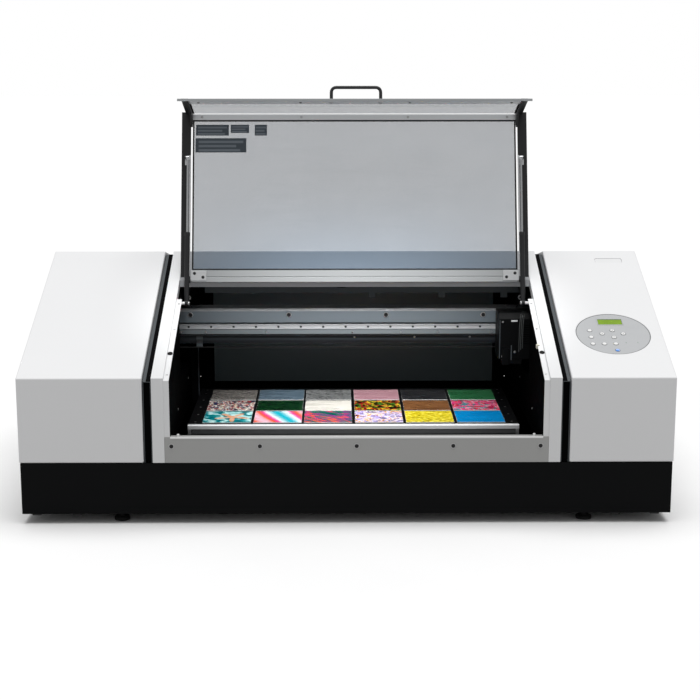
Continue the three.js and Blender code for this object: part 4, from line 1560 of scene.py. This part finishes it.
@dataclass
class Carriage:
    """The print carriage: cover, runner, heads, lamp, hoses and small fittings."""

    left: float = 399.0
    right: float = 630.0
    front: float = 400.0
    rear: float = 480.0
    bottom: float = 318.0
    top: float = 441.0
    chamfer: float = 16.0
    wall: float = 2.0

    def build(self) -> None:
        """Builds the carriage and the capping station below its parking place."""
        edge, wall = self.chamfer, self.wall
        front, rear, bottom, top = self.front, self.rear, self.bottom, self.top
        outline = [(front, bottom), (rear, bottom), (rear, top), (front + edge, top), (front, top - edge)]
        cover = prism("carriage_shell", outline, self.left, self.right, 2.2, 3)
        front, rear, bottom, top, edge = front + wall, rear - wall, bottom - 2 * wall, top - wall, edge - 1
        outline = [(front, bottom), (rear, bottom), (rear, top), (front + edge, top), (front, top - edge)]
        carve(cover, prism("hollow", outline, self.left + wall, self.right - wall, 0))
        place(cover, Body.CARRIAGE, CARRIAGE_BLACK, ["carriage_cover"])
        restore("carriage_frame", "carriage_runner", 0.8, 1, Body.CARRIAGE, DARK_ANODISED)
        for side in ("left", "right"):
            node = f"print_head_{side}"
            restore(node, f"{node}_block", 0.8, 2, Body.CARRIAGE, STEEL)
        restore("uv_lamp", "uv_lamp_case", 1.2, 2, Body.CARRIAGE, DARK_ANODISED)
        restore("capping_station", "capping_tray", 0.8, 1, Body.CABINET, BLACK_PLASTIC)
        self.build_trims()
        self.build_hoses()

    def on_face(self, name: str, low: Point, high: Point, bevel: float,
                segments: int = 2) -> Piece:
        """A block on the cover's face.

        Args:
            name: The piece's name.
            low: Lowest corner in mm, counted from the face's lower left corner.
            high: Highest corner, counted likewise.
            bevel: Width of the rounding in mm.
            segments: Faces across the rounding.

        Returns:
            The new piece.
        """
        corner = (self.left, self.front, self.bottom)
        ends = [tuple(start + step for start, step in zip(corner, end)) for end in (low, high)]
        return block(name, *ends, bevel, segments)

    def build_trims(self) -> None:
        """Builds the cover's light corner strips, plates, screws and vents. The vents are near-black slots,
        painted shade of their openings.
        """
        strips = [self.on_face("corner_strip", (2.6, -0.7, 3), (4.6, 0.4, 105), 0.3),
                  self.on_face("sensor_strip", (33, -1.0, -2), (35.5, 0.4, 38), 0.3)]
        place(weld("carriage_strips", *strips), Body.CARRIAGE, SLATE)
        plate = self.on_face("carriage_plate", (33, -0.5, 100.6), (49, 0.4, 104.8), 0.2, 1)
        place(plate, Body.CARRIAGE, LABEL_WHITE)
        low_box = self.on_face("carriage_lower_box", (10, -6, -14), (30, 24, 30), 1.6)
        place(low_box, Body.CARRIAGE, CARRIAGE_BLACK)
        eye = turned("height_sensor", [(3.4, 0), (3.4, 1.6), (2.6, 2.0), (1.4, 2.1)],
                     (self.left + 44, self.front, self.bottom + 20), FORWARD, 20)
        place(eye, Body.CARRIAGE, SCREW_STEEL)
        # near-black slots: painted shade of the vent openings
        vent = self.on_face("vent", (60, -0.4, 42), (96, 0.3, 44.2), 0.3, 1)
        vents = row_of(vent, "carriage_vents", [(0, 0, 6.0 * index) for index in range(9)])
        place(vents, Body.CARRIAGE, BLACK_AND_PAINTED_SHADE)
        heads = [screw(f"cover_{x}_{z}", (x, self.front, z), FORWARD, 2.8, 1.4)
                 for x in (410, 516, 618) for z in (326, 418)]
        place(weld("carriage_screws", *heads), Body.CARRIAGE, SCREW_STEEL)

    def build_hoses(self) -> None:
        """Builds the short hoses that come up out of the carriage."""
        hoses = []
        for index in range(3):
            x, y = self.left + 54 + index * 4.4, self.front
            points = [(x, y - 2.6, 340 + index * 4), (x, y - 4.4, 380), (x + 1, y - 3.2, 412),
                      (x + 4, y + 6, 432), (x + 10, y + 22, 443 - index)]
            hoses.append(tube(f"hose_{index}", points, 1.2, 3))
        place(weld("carriage_hoses", *hoses), Body.CARRIAGE, HOSE_SMOKED)


class SampleRow(Enum):
    """The rows of sample boards, by the y of their front and rear edges in mm."""

    FRONT = (247.5, 366.5)
    MIDDLE = (374.0, 485.5)
    REAR = (495.0, 614.6)


@dataclass
class Table:
    """The table with its saddle, rails, front bar and the boards laid on it."""

    left: float = -401.0
    right: float = 438.0
    front: float = 245.0
    top: float = 186.0
    board: float = 122.6
    board_height: float = 1.8
    columns: tuple[float, ...] = (-365.5, -236.1, -107.8, 22.6, 152.4, 282.3)
    hole_places: tuple[float, ...] = (262, 340, 420, 500, 580, 622)

    def build(self) -> None:
        """Builds the table, what carries it and what lies on it."""
        restore("table_plate", "table_bed", 0.8, 2, Body.TABLE, TABLE_BLACK)
        restore("table_saddle", "saddle_casting", 1.2, 2, Body.SADDLE, GREY_COAT_AND_GAP_SHADE)
        for side in ("left", "right"):
            node = f"table_rail_{side}"
            restore(node, f"{node}_bar", 0.6, 1, Body.CABINET, STEEL)
        self.build_bar()
        self.build_holes()
        self.build_boards()

    def build_bar(self) -> None:
        """Builds the bar along the table's front: light top, ribbed face and bright ends."""
        y0, y1 = self.front - 13, self.front - 0.3
        outline = [(y0, 174), (y1, 174), (y1, 184.6), (y0 + 1.5, 184.6), (y0, 183)]
        top = prism("table_bar_top", outline, self.left, self.right, 0.5)
        place(top, Body.TABLE, PALE_ALUMINIUM, ["table_front_bar"])
        ribbed = block("table_bar_ribs", (self.left + 9, y0 + 1.2, 161), (self.right - 9, y1, 173.8), 0.8)
        place(ribbed, Body.TABLE, KNURL)
        ends = [block("end_left", (self.left, y0 - 0.2, 160), (self.left + 8.4, y1, 173.8), 0.8),
                block("end_right", (self.right - 8.4, y0 - 0.2, 160), (self.right, y1, 173.8), 0.8)]
        place(weld("table_bar_ends", *ends), Body.TABLE, ALUMINIUM)

    def build_holes(self) -> None:
        """Builds the suction holes beside the boards."""
        profile = [(3.0, 0), (3.0, 0.25), (2.6, 0.4), (1.7, 0.4), (1.5, 0.05)]
        rim = turned("rim", profile, (0, 0, self.top), UPWARD, 14)
        places = [(x, y, 0) for x in (self.left + 17, self.right - 16) for y in self.hole_places]
        place(row_of(rim, "suction_holes", places), Body.TABLE, SCREW_STEEL)

    def build_boards(self) -> None:
        """Lays the printed boards on the table."""
        for row, prints in zip(SampleRow, PRINTS):
            y0, y1 = row.value
            for index, (x, design) in enumerate(zip(self.columns, prints)):
                name = f"board_{row.name.lower()}_{index}"
                low, high = (x, y0, self.top + 0.05), (x + self.board, y1, self.top + self.board_height)
                board = block(name, low, high, 0.5)
                ink = Print(f"ink_{row.name.lower()}_{index}", *design, (x + self.board / 2, (y0 + y1) / 2))
                place(board, Body.TABLE, BOARD_WHITE)
                board.data.materials.append(ink.material())
                for face in board.data.polygons:
                    face.material_index = 1 if face.normal.z > 0.95 else 0


PRINTS: tuple = (
    (
        (Pattern.STAR, (
            (0.0, 0.12, 0.15), (0.0, 0.30, 0.32), (0.55, 0.82, 0.80), (0.75, 0.20, 0.01)), 9.0, 0.3),
        (Pattern.BANDS, (
            (0.0, 0.40, 0.50), (0.75, 0.85, 0.85), (0.80, 0.05, 0.30), (0.80, 0.10, 0.01),
            (0.85, 0.5, 0.6)), 3.4, 0.35),
        (Pattern.BRUSHED, (
            (0.0, 0.05, 0.07), (0.0, 0.16, 0.07), (0.16, 0.01, 0.2), (0.75, 0.12, 0.01),
            (0.65, 0.01, 0.2)), 34.0, 0.6),
        (Pattern.PATCHES, (
            (0.8, 0.78, 0.8), (0.02, 0.0, 0.06), (0.4, 0.3, 0.7), (0.8, 0.78, 0.8),
            (0.75, 0.3, 0.02), (0.04, 0.0, 0.08)), 52.0, 0.0),
        (Pattern.SPECKLE, ((0.20, 0.15, 0.0), (0.62, 0.5, 0.01), (0.8, 0.72, 0.12)), 110.0, 0.0),
        (Pattern.PLAIN, ((0.0, 0.16, 0.42), (0.0, 0.21, 0.5)), 12.0, 0.0),
    ),
    (
        (Pattern.CELLS, (
            (0.0, 0.0, 0.02), (0.72, 0.72, 0.68), (0.005, 0.02, 0.1), (0.4, 0.02, 0.02),
            (0.0, 0.0, 0.03), (0.7, 0.66, 0.5)), 190.0, 0.0),
        (Pattern.PATCHES, (
            (0.0, 0.001, 0.0), (0.0, 0.006, 0.003), (0.001, 0.03, 0.008), (0.02, 0.09, 0.02)), 150.0, 0.4),
        (Pattern.CLOUDS, ((0.55, 0.53, 0.47), (0.64, 0.62, 0.57)), 30.0, 0.0),
        (Pattern.CELLS, (
            (0.0, 0.0, 0.0), (0.6, 0.42, 0.02), (0.01, 0.01, 0.0), (0.4, 0.01, 0.01),
            (0.05, 0.2, 0.02), (0.0, 0.0, 0.0)), 130.0, 0.0),
        (Pattern.GRAIN, ((0.05, 0.018, 0.006), (0.16, 0.065, 0.022), (0.26, 0.12, 0.045)), 110.0, 0.0),
        (Pattern.CELLS, (
            (0.6, 0.01, 0.04), (0.75, 0.3, 0.38), (0.0, 0.25, 0.28), (0.6, 0.04, 0.2),
            (0.3, 0.0, 0.03)), 130.0, 0.0),
    ),
    (
        (Pattern.SPECKLE, ((0.02, 0.018, 0.016), (0.13, 0.12, 0.11), (0.30, 0.28, 0.26)), 190.0, 0.0),
        (Pattern.PLAIN, ((0.075, 0.115, 0.15), (0.10, 0.145, 0.185)), 40.0, 0.0),
        (Pattern.SPECKLE, ((0.01, 0.01, 0.01), (0.13, 0.135, 0.135), (0.24, 0.245, 0.245)), 130.0, 0.0),
        (Pattern.PLAIN, ((0.32, 0.16, 0.19), (0.40, 0.22, 0.25)), 18.0, 0.0),
        (Pattern.GRAIN, ((0.006, 0.006, 0.007), (0.03, 0.03, 0.033)), 130.0, 0.2),
        (Pattern.PLAIN, ((0.016, 0.10, 0.035), (0.024, 0.13, 0.05)), 14.0, 0.0),
    ),
)


# ------------------------------------------------------------------ the cover's own frame
PIVOT_Y = 412.7
PIVOT_Z = 526.5
LEAN = math.radians(17.15)
FOLD = math.radians(91.4)
COVER_LENGTH = 445.3
VISOR_LENGTH = 129.0
COVER_IN = Vector((0, -math.cos(LEAN), math.sin(LEAN)))  # into the bay


def cover_point(u: float, n: float) -> Pair:
    """A point of the open cover: u from the hinge to the fold, n into the bay.

    Returns:
        The point (y, z) in mm.
    """
    c, s = math.cos(LEAN), math.sin(LEAN)
    return (PIVOT_Y + u * s - n * c, PIVOT_Z + u * c + n * s)


def visor_point(along: float, depth: float) -> Pair:
    """A point of the visor: distance from the fold to the lip, and depth under its outer face.

    Returns:
        The point (u, n) in the cover's frame.
    """
    u = COVER_LENGTH - along * math.cos(FOLD) - depth * math.sin(FOLD)
    return (u, along * math.sin(FOLD) - depth * math.cos(FOLD))


def cover_slab(name: str, corners: Sequence[Pair], x0: float, x1: float,
               bevel: float = 0.3) -> Piece:
    """A piece whose side outline is given in the cover's frame."""
    return prism(name, [cover_point(*corner) for corner in corners], x0, x1, bevel, 1)


def cover_block(name: str, u: Pair, n: Pair, x: Pair,
                bevel: float = 0.3) -> Piece:
    """A block that is square to the cover's roof sheet, given by its spans."""
    return cover_slab(name, square(u, n), *x, bevel)


def visor_block(name: str, along: Pair, depth: Pair, x: Pair,
                bevel: float = 0.3) -> Piece:
    """A block that is square to the visor, given by its spans."""
    return cover_slab(name, [visor_point(*corner) for corner in square(along, depth)], *x, bevel)


@dataclass
class Cover:
    """The lift-up clear cover: arms, sheets, trims, labels, gaskets, hinge bar and handle."""

    half: float = 452.5
    sheet_half: float = 423.7
    trim_screws: tuple[float, ...] = (-376.0, -115.5, 164.3, 424.5)
    labels: tuple[tuple[float, float, float, float], ...] = (
        (-392, -306, 383, 412), (-301, -253, 390, 412), (-238, -206, 383, 412), (-393, -260, 338, 376))
    clip_u: Pair = (304, 328)
    handle_half: float = 63.0

    def build(self) -> None:
        """Builds the whole cover."""
        for side in ("left", "right"):
            node = f"cover_{side}_arm"
            restore(node, f"cover_arm_{side}", 0.5, 1, Body.COVER, SATIN_BLACK)
        restore("cover_top_window", "roof_sheet", 0.3, 1, Body.COVER, SMOKED)
        restore("cover_front_window", "visor_sheet", 0.3, 1, Body.COVER, SMOKED)
        self.build_trims()
        self.build_gaskets()
        self.build_hinge()
        self.build_labels()
        self.build_side_strips()
        self.build_handle()

    def span(self, half: float) -> Pair:
        """The x places that far to both sides of the bay's middle."""
        return (BAY_X - half, BAY_X + half)

    def build_trims(self) -> None:
        """Builds the light strips at the fold and along the lip, with their screws."""
        x = self.span(self.sheet_half)
        outline = [(21, 4.3), (6, 4.3), (6, 6.6), (8, 7.4), (19, 7.4), (21, 6.6)]
        fold = cover_slab("fold_strip", [(COVER_LENGTH - back, n) for back, n in outline], *x, 0.2)
        place(fold, Body.COVER, PALE_ALUMINIUM, ["cover_fold_trim"])
        lip = visor_block("lip_strip", (VISOR_LENGTH - 27, VISOR_LENGTH - 1), (4.3, 6.5), x)
        place(lip, Body.COVER, PALE_ALUMINIUM, ["cover_lip_trim"])
        along = (VISOR_LENGTH - 0.6, VISOR_LENGTH + 1.4)
        edge = visor_block("lip_edge", along, (0.6, 6.8), self.span(self.half))
        place(edge, Body.COVER, PALE_EDGE_AND_HIGHLIGHT)
        heads = []
        for x in self.trim_screws:
            y, z = cover_point(COVER_LENGTH - 13.5, 7.4)
            heads.append(screw(f"fold_{x}", (x, y, z), COVER_IN, 3.4, 1.6))
        place(weld("trim_screws", *heads), Body.COVER, SCREW_STEEL)
        heads = []
        for x in (-376.0, -115.5, -38.0, 87.0, 164.3, 424.5):
            y, z = cover_point(*visor_point(VISOR_LENGTH - 14, 6.5))
            heads.append(screw(f"lip_{x}", (x, y, z), lip_normal(), 3.2, 1.4))
        place(weld("lip_screws", *heads), Body.COVER, BLACK_SCREW)

    def build_gaskets(self) -> None:
        """Builds the dark seals round the roof sheet."""
        x = self.span(self.sheet_half)
        seals = [cover_block("seal_top", (COVER_LENGTH - 25, COVER_LENGTH - 21.3), (4.1, 6.0), x),
                 cover_block("seal_bottom", (27, 30), (4.1, 5.6), x)]
        for sign in (-1, 1):
            ends = beside(sign, 419.6, 423.6)
            seals.append(cover_block(f"seal_side_{sign}", (30, COVER_LENGTH - 25), (4.1, 5.4), ends))
            seals.append(visor_block(f"seal_visor_{sign}", (8, VISOR_LENGTH - 28), (4.1, 5.4), ends))
        place(weld("cover_seals", *seals), Body.COVER, RUBBER)

    def build_hinge(self) -> None:
        """Builds the bar along the hinge, its end brackets, screws and pins."""
        outline = [(-5.6, 0.6), (25.6, 0.6), (25.6, 8.4), (9.8, 8.4), (9.0, 6.8), (7.8, 6.8), (7.0, 9.2),
                   (-4.8, 9.2), (-5.6, 8.4)]
        bar = cover_slab("hinge_bar", outline, *self.span(self.sheet_half))
        place(bar, Body.COVER, HINGE_BAR, ["cover_hinge_bar"])
        brackets, heads, pins = [], [], []
        for sign in (-1, 1):
            ends = beside(sign, 385, 426)
            brackets.append(cover_block(f"bracket_{sign}", (-2, 25), (9.3, 11.3), ends, 0.5))
            for index, (half, u) in enumerate(((394, 7), (416, 17))):
                y, z = cover_point(u, 11.3)
                heads.append(screw(f"hinge_{sign}_{index}", (BAY_X + sign * half, y, z), COVER_IN, 4.0, 1.8))
            foot = (BAY_X + sign * 441.2, PIVOT_Y, PIVOT_Z)
            profile = [(5.2, 0), (5.2, 1.2), (4.4, 1.8), (3.2, 2.0)]
            pins.append(turned(f"pin_{sign}", profile, foot, Vector((sign, 0, 0)), 24))
        place(weld("hinge_brackets", *brackets), Body.COVER, ALUMINIUM)
        place(weld("hinge_screws", *heads), Body.COVER, BLACK_SCREW)
        place(weld("hinge_pins", *pins), Body.COVER, SCREW_STEEL)

    def build_labels(self) -> None:
        """Builds the blank plates on the roof sheet, each with a few faint blank fields."""
        plates, fields = [], []
        for index, (x0, x1, u0, u1) in enumerate(self.labels):
            plates.append(cover_block(f"plate_{index}", (u0, u1), (4.05, 4.45), (x0, x1), 0.1))
            width = x1 - x0
            for line in range(3):
                top = u1 - (line + 0.6) * (u1 - u0) / 3.4
                low = top - (u1 - u0) / 6
                end = x0 + width * (0.94, 0.8, 0.88)[line]
                name = f"field_{index}_{line}"
                fields.append(cover_block(name, (low, top), (4.4, 4.6), (x0 + width * 0.06, end), 0))
        place(weld("cover_plates", *plates), Body.COVER, LABEL_FILM)
        place(weld("cover_plate_fields", *fields), Body.COVER, LABEL_LINE)

    def build_side_strips(self) -> None:
        """Builds the light strips along the arms, the springs' upper brackets and the small clips."""
        strips, clips = [], []
        for sign in (-1, 1):
            strips.append(cover_block(f"strip_{sign}", (10, 330), (5.1, 6.6), beside(sign, 428.5, 432)))
            ends = beside(sign, 432.6, 443.4)
            clips.append(cover_block(f"clip_{sign}", self.clip_u, (5.1, 7.2), ends, 0.5))
            y, z = cover_point(322, 7.2)
            clips.append(turned(f"clip_nut_{sign}", [(3.0, 0), (3.2, 0.3), (3.2, 1.6), (2.8, 2.0)],
                                (BAY_X + sign * 440.0, y, z), COVER_IN, 6))
        place(weld("cover_side_strips", *strips), Body.COVER, PALE_ALUMINIUM)
        place(weld("spring_brackets", *clips), Body.COVER, ALUMINIUM)

    def build_handle(self) -> None:
        """Builds the bow handle with its collars and the nuts under the visor."""
        restore("cover_handle", "handle_bow", 0, 1, Body.COVER, BLACK_PLASTIC)
        low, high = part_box("cover_handle")
        middle = (low.x + high.x) / 2 / MM
        collar = [(7.4, 0.1), (7.4, 1.6), (6.2, 3.0), (5.0, 4.4), (4.3, 4.6)]
        nut = [(4.6, 0), (5.0, 0.4), (5.0, 2.6), (4.4, 3.0)]
        outer = cover_point(*visor_point(VISOR_LENGTH - 14, 1.0))
        inner = cover_point(*visor_point(VISOR_LENGTH - 14, 6.5))
        collars, nuts = [], []
        for sign in (-1, 1):
            x = middle + sign * self.handle_half
            collars.append(turned(f"collar_{sign}", collar, (x, *outer), -lip_normal(), 24))
            nuts.append(turned(f"nut_{sign}", nut, (x, *inner), lip_normal(), 6))
        place(weld("handle_collars", *collars), Body.COVER, BLACK_PLASTIC)
        place(weld("handle_nuts", *nuts), Body.COVER, SCREW_STEEL)


def lip_normal() -> Vector:
    """The direction that the visor's inner face looks."""
    (y0, z0), (y1, z1) = cover_point(*visor_point(0, 0)), cover_point(*visor_point(0, 1))
    return Vector((0, y1 - y0, z1 - z0)).normalized()


@dataclass
class GasSprings:
    """The two springs that carry the cover."""

    foot: Pair = (380.0, 472.0)
    half: float = 435.3
    mouth: float = 186.0

    def build(self) -> None:
        """Builds the cylinders, their collars and the rods."""
        head = cover_point(321, 14)
        along = Vector((0, head[0] - self.foot[0], head[1] - self.foot[1])).normalized()
        for side, sign in (("left", -1), ("right", 1)):
            body = f"gas_spring_{side}_cylinder"
            restore(body, f"spring_{side}_tube", 0.5, 2, body, SATIN_BLACK)
            rod = f"gas_spring_{side}_rod"
            restore(rod, f"spring_{side}_shaft", 0.4, 1, rod, STEEL)
            x = BAY_X + sign * self.half
            mouth = (x, self.foot[0] + along.y * self.mouth, self.foot[1] + along.z * self.mouth)
            profile = [(6.9, -9), (7.1, -8.4), (7.1, -1.2), (6.2, 0.2), (4.2, 0.5)]
            collar = turned(f"spring_{side}_collar", profile, mouth, along, 28)
            bore = turned("bore", [(3.4, -12), (3.4, 3)], mouth, along, 24)
            place(carve(collar, bore), body, BLACK_PLASTIC)
            cap = turned(f"spring_{side}_pin_cap", [(5.6, 0), (5.6, 0.8), (4.6, 1.6), (2.6, 1.9)],
                         (BAY_X + sign * 429.2, *self.foot), Vector((-sign, 0, 0)), 20)
            place(cap, Body.CABINET, SCREW_STEEL)


@dataclass
class RearFittings:
    """The back of the machine: panel, vents, blank plate, mains inlet and main switch."""

    inlet_x: float = 660.0

    def build(self) -> None:
        """Builds the back panel and what is fitted in it."""
        restore("back_panel", "back_sheet", 0.5, 1, Body.CABINET, SATIN_BLACK)
        # near-black slots on the back panel: painted shade of the vent openings
        slot = block("slot", (-330, 954.6, 300), (-190, 955.4, 304), 0.2, 1)
        places = [(dx, 0, dz * 12.0) for dx in (0.0, 180.0, 360.0, 540.0) for dz in range(9)]
        place(row_of(slot, "back_vents", places), Body.CABINET, BLACK_AND_PAINTED_SHADE)
        plate = block("back_plate", (300, 954.9, 180), (400, 955.7, 240), 0.2, 1)
        place(plate, Body.CABINET, LABEL_WHITE)
        heads = [screw(f"back_{x}_{z}", (x, DEPTH, z), BACKWARD, 4.0, 1.8)
                 for x in (-415, -140, 185, 462) for z in (170, 470)]
        place(weld("back_screws", *heads), Body.CABINET, BLACK_SCREW)
        restore("power_inlet", "inlet_module", 0.5, 2, Body.CABINET, BLACK_PLASTIC)
        x = self.inlet_x
        pins = [block(f"blade_{i}", (x + dx - 1.1, 936, 190 + dz), (x + dx + 1.1, 950, 194 + dz), 0.4)
                for i, (dx, dz) in enumerate(((-6, -3), (6, -3), (0, 3)))]
        place(weld("inlet_blades", *pins), Body.CABINET, SCREW_STEEL)
        restore("main_switch", "switch_rocker", 0.6, 3, Body.MAIN_SWITCH, BLACK_PLASTIC)


@dataclass
class Studio:
    """The plain floor, the soft light and the camera."""

    floor_half: float = 30.0
    floor_colour: Colour = (0.93, 0.93, 0.93)
    floor_return: float = 0.5
    ambient: float = 0.43
    sun: float = 2.2
    bay_light: float = 2.2

    def build(self) -> None:
        """Builds the floor, the lights and the camera."""
        bpy.ops.object.select_all(action="DESELECT")
        bpy.ops.mesh.primitive_plane_add(size=2 * self.floor_half, location=(0, 0, 0))
        floor = freeze(named(bpy.context.active_object, "studio_floor"))
        bpy.ops.object.mode_set(mode="EDIT")
        bpy.ops.mesh.subdivide(number_cuts=8)
        bpy.ops.object.mode_set(mode="OBJECT")
        floor.data.materials.append(self.floor_material())
        self.light()
        self.camera()

    def floor_material(self) -> Material:
        """A pale matt floor that throws back only part of the light it shows."""
        skin = Skin("studio_floor")
        g = skin.g
        seen = g.add("ShaderNodeLightPath").outputs["Is Camera Ray"]
        cloud = g.span(g.noise(skin.where, 3.0), 0.3, 0.7, 0.985, 1.0)
        bright = g.mix(1.0, self.floor_colour, cloud, "MULTIPLY")
        thrown = tuple(c * self.floor_return for c in self.floor_colour)
        skin.feed("Base Color", g.mix(seen, thrown, bright))
        return skin.fix({"Roughness": 0.8, "Specular IOR Level": 0.1})

    def light(self) -> None:
        """A broad sun from above, a soft light into the bay and a pale sky."""
        scene = bpy.context.scene
        scene.view_settings.view_transform = "Standard"
        scene.view_settings.look = "None"
        world = bpy.data.worlds.new("pale_sky")
        scene.world = world
        world.use_nodes = True
        g = Graph(world.node_tree)
        sky = world.node_tree.nodes["Background"]
        seen = g.add("ShaderNodeLightPath").outputs["Is Camera Ray"]
        strength = g.span(seen, 0.0, 1.0, self.ambient, 1.0)
        g.tree.links.new(strength, sky.inputs["Strength"])
        sky.inputs["Color"].default_value = (1, 1, 1, 1)
        self.add_light("sun_above", "SUN", self.sun, (0.3, -0.6, 4.0), (2, 3, 0), angle=0.9)
        self.add_light("bay_light", "AREA", self.bay_light, (0.0235, -0.95, 1.3), (42, 0, 0), size=0.6)

    def add_light(self, name: str, kind: str, energy: float, at: Point, turn: Point, size: float = 1.0,
                  angle: float = 0.5) -> None:
        """Adds one light.

        Args:
            name: Its name.
            kind: SUN or AREA.
            energy: Its strength.
            at: Its place in metres.
            turn: Its rotation in degrees.
            size: Width of an area light.
            angle: Apparent width of a sun, in radians.
        """
        data = bpy.data.lights.new(name, kind)
        data.energy = energy
        if kind == "SUN":
            data.angle = angle
        else:
            data.shape = "RECTANGLE"
            data.size = size
            data.size_y = size / 4
            data.spread = math.radians(34)
        lamp = bpy.data.objects.new(name, data)
        lamp.location = at
        lamp.rotation_euler = [math.radians(degrees) for degrees in turn]
        lamp.visible_camera = False
        lamp.visible_glossy = kind == "SUN"
        bpy.context.scene.collection.objects.link(lamp)

    def camera(self) -> None:
        """Places the camera in front, a little above the machine."""
        data = bpy.data.cameras.new("front_camera")
        data.lens = 77.14
        data.sensor_width = 36.0
        data.clip_end = 200.0
        camera = bpy.data.objects.new("front_camera", data)
        camera.location = (-0.0226, -3.9255, 1.127)
        camera.rotation_euler = (math.radians(78.5), 0.0, -math.radians(0.497))
        bpy.context.scene.collection.objects.link(camera)
        bpy.context.scene.camera = camera


def main() -> None:
    """Builds the printer around the frame, part by part."""
    logging.basicConfig(level=logging.INFO, format="%(message)s", stream=sys.stdout)
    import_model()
    for assembly in (Base, Housings, Controls, SideWalls, Apron, Deck, Gantry, Carriage, Table, Cover,
                     GasSprings, RearFittings, Studio):
        LOG.info("building %s", assembly.__name__)
        assembly().build()


if __name__ == "__main__":
    main()
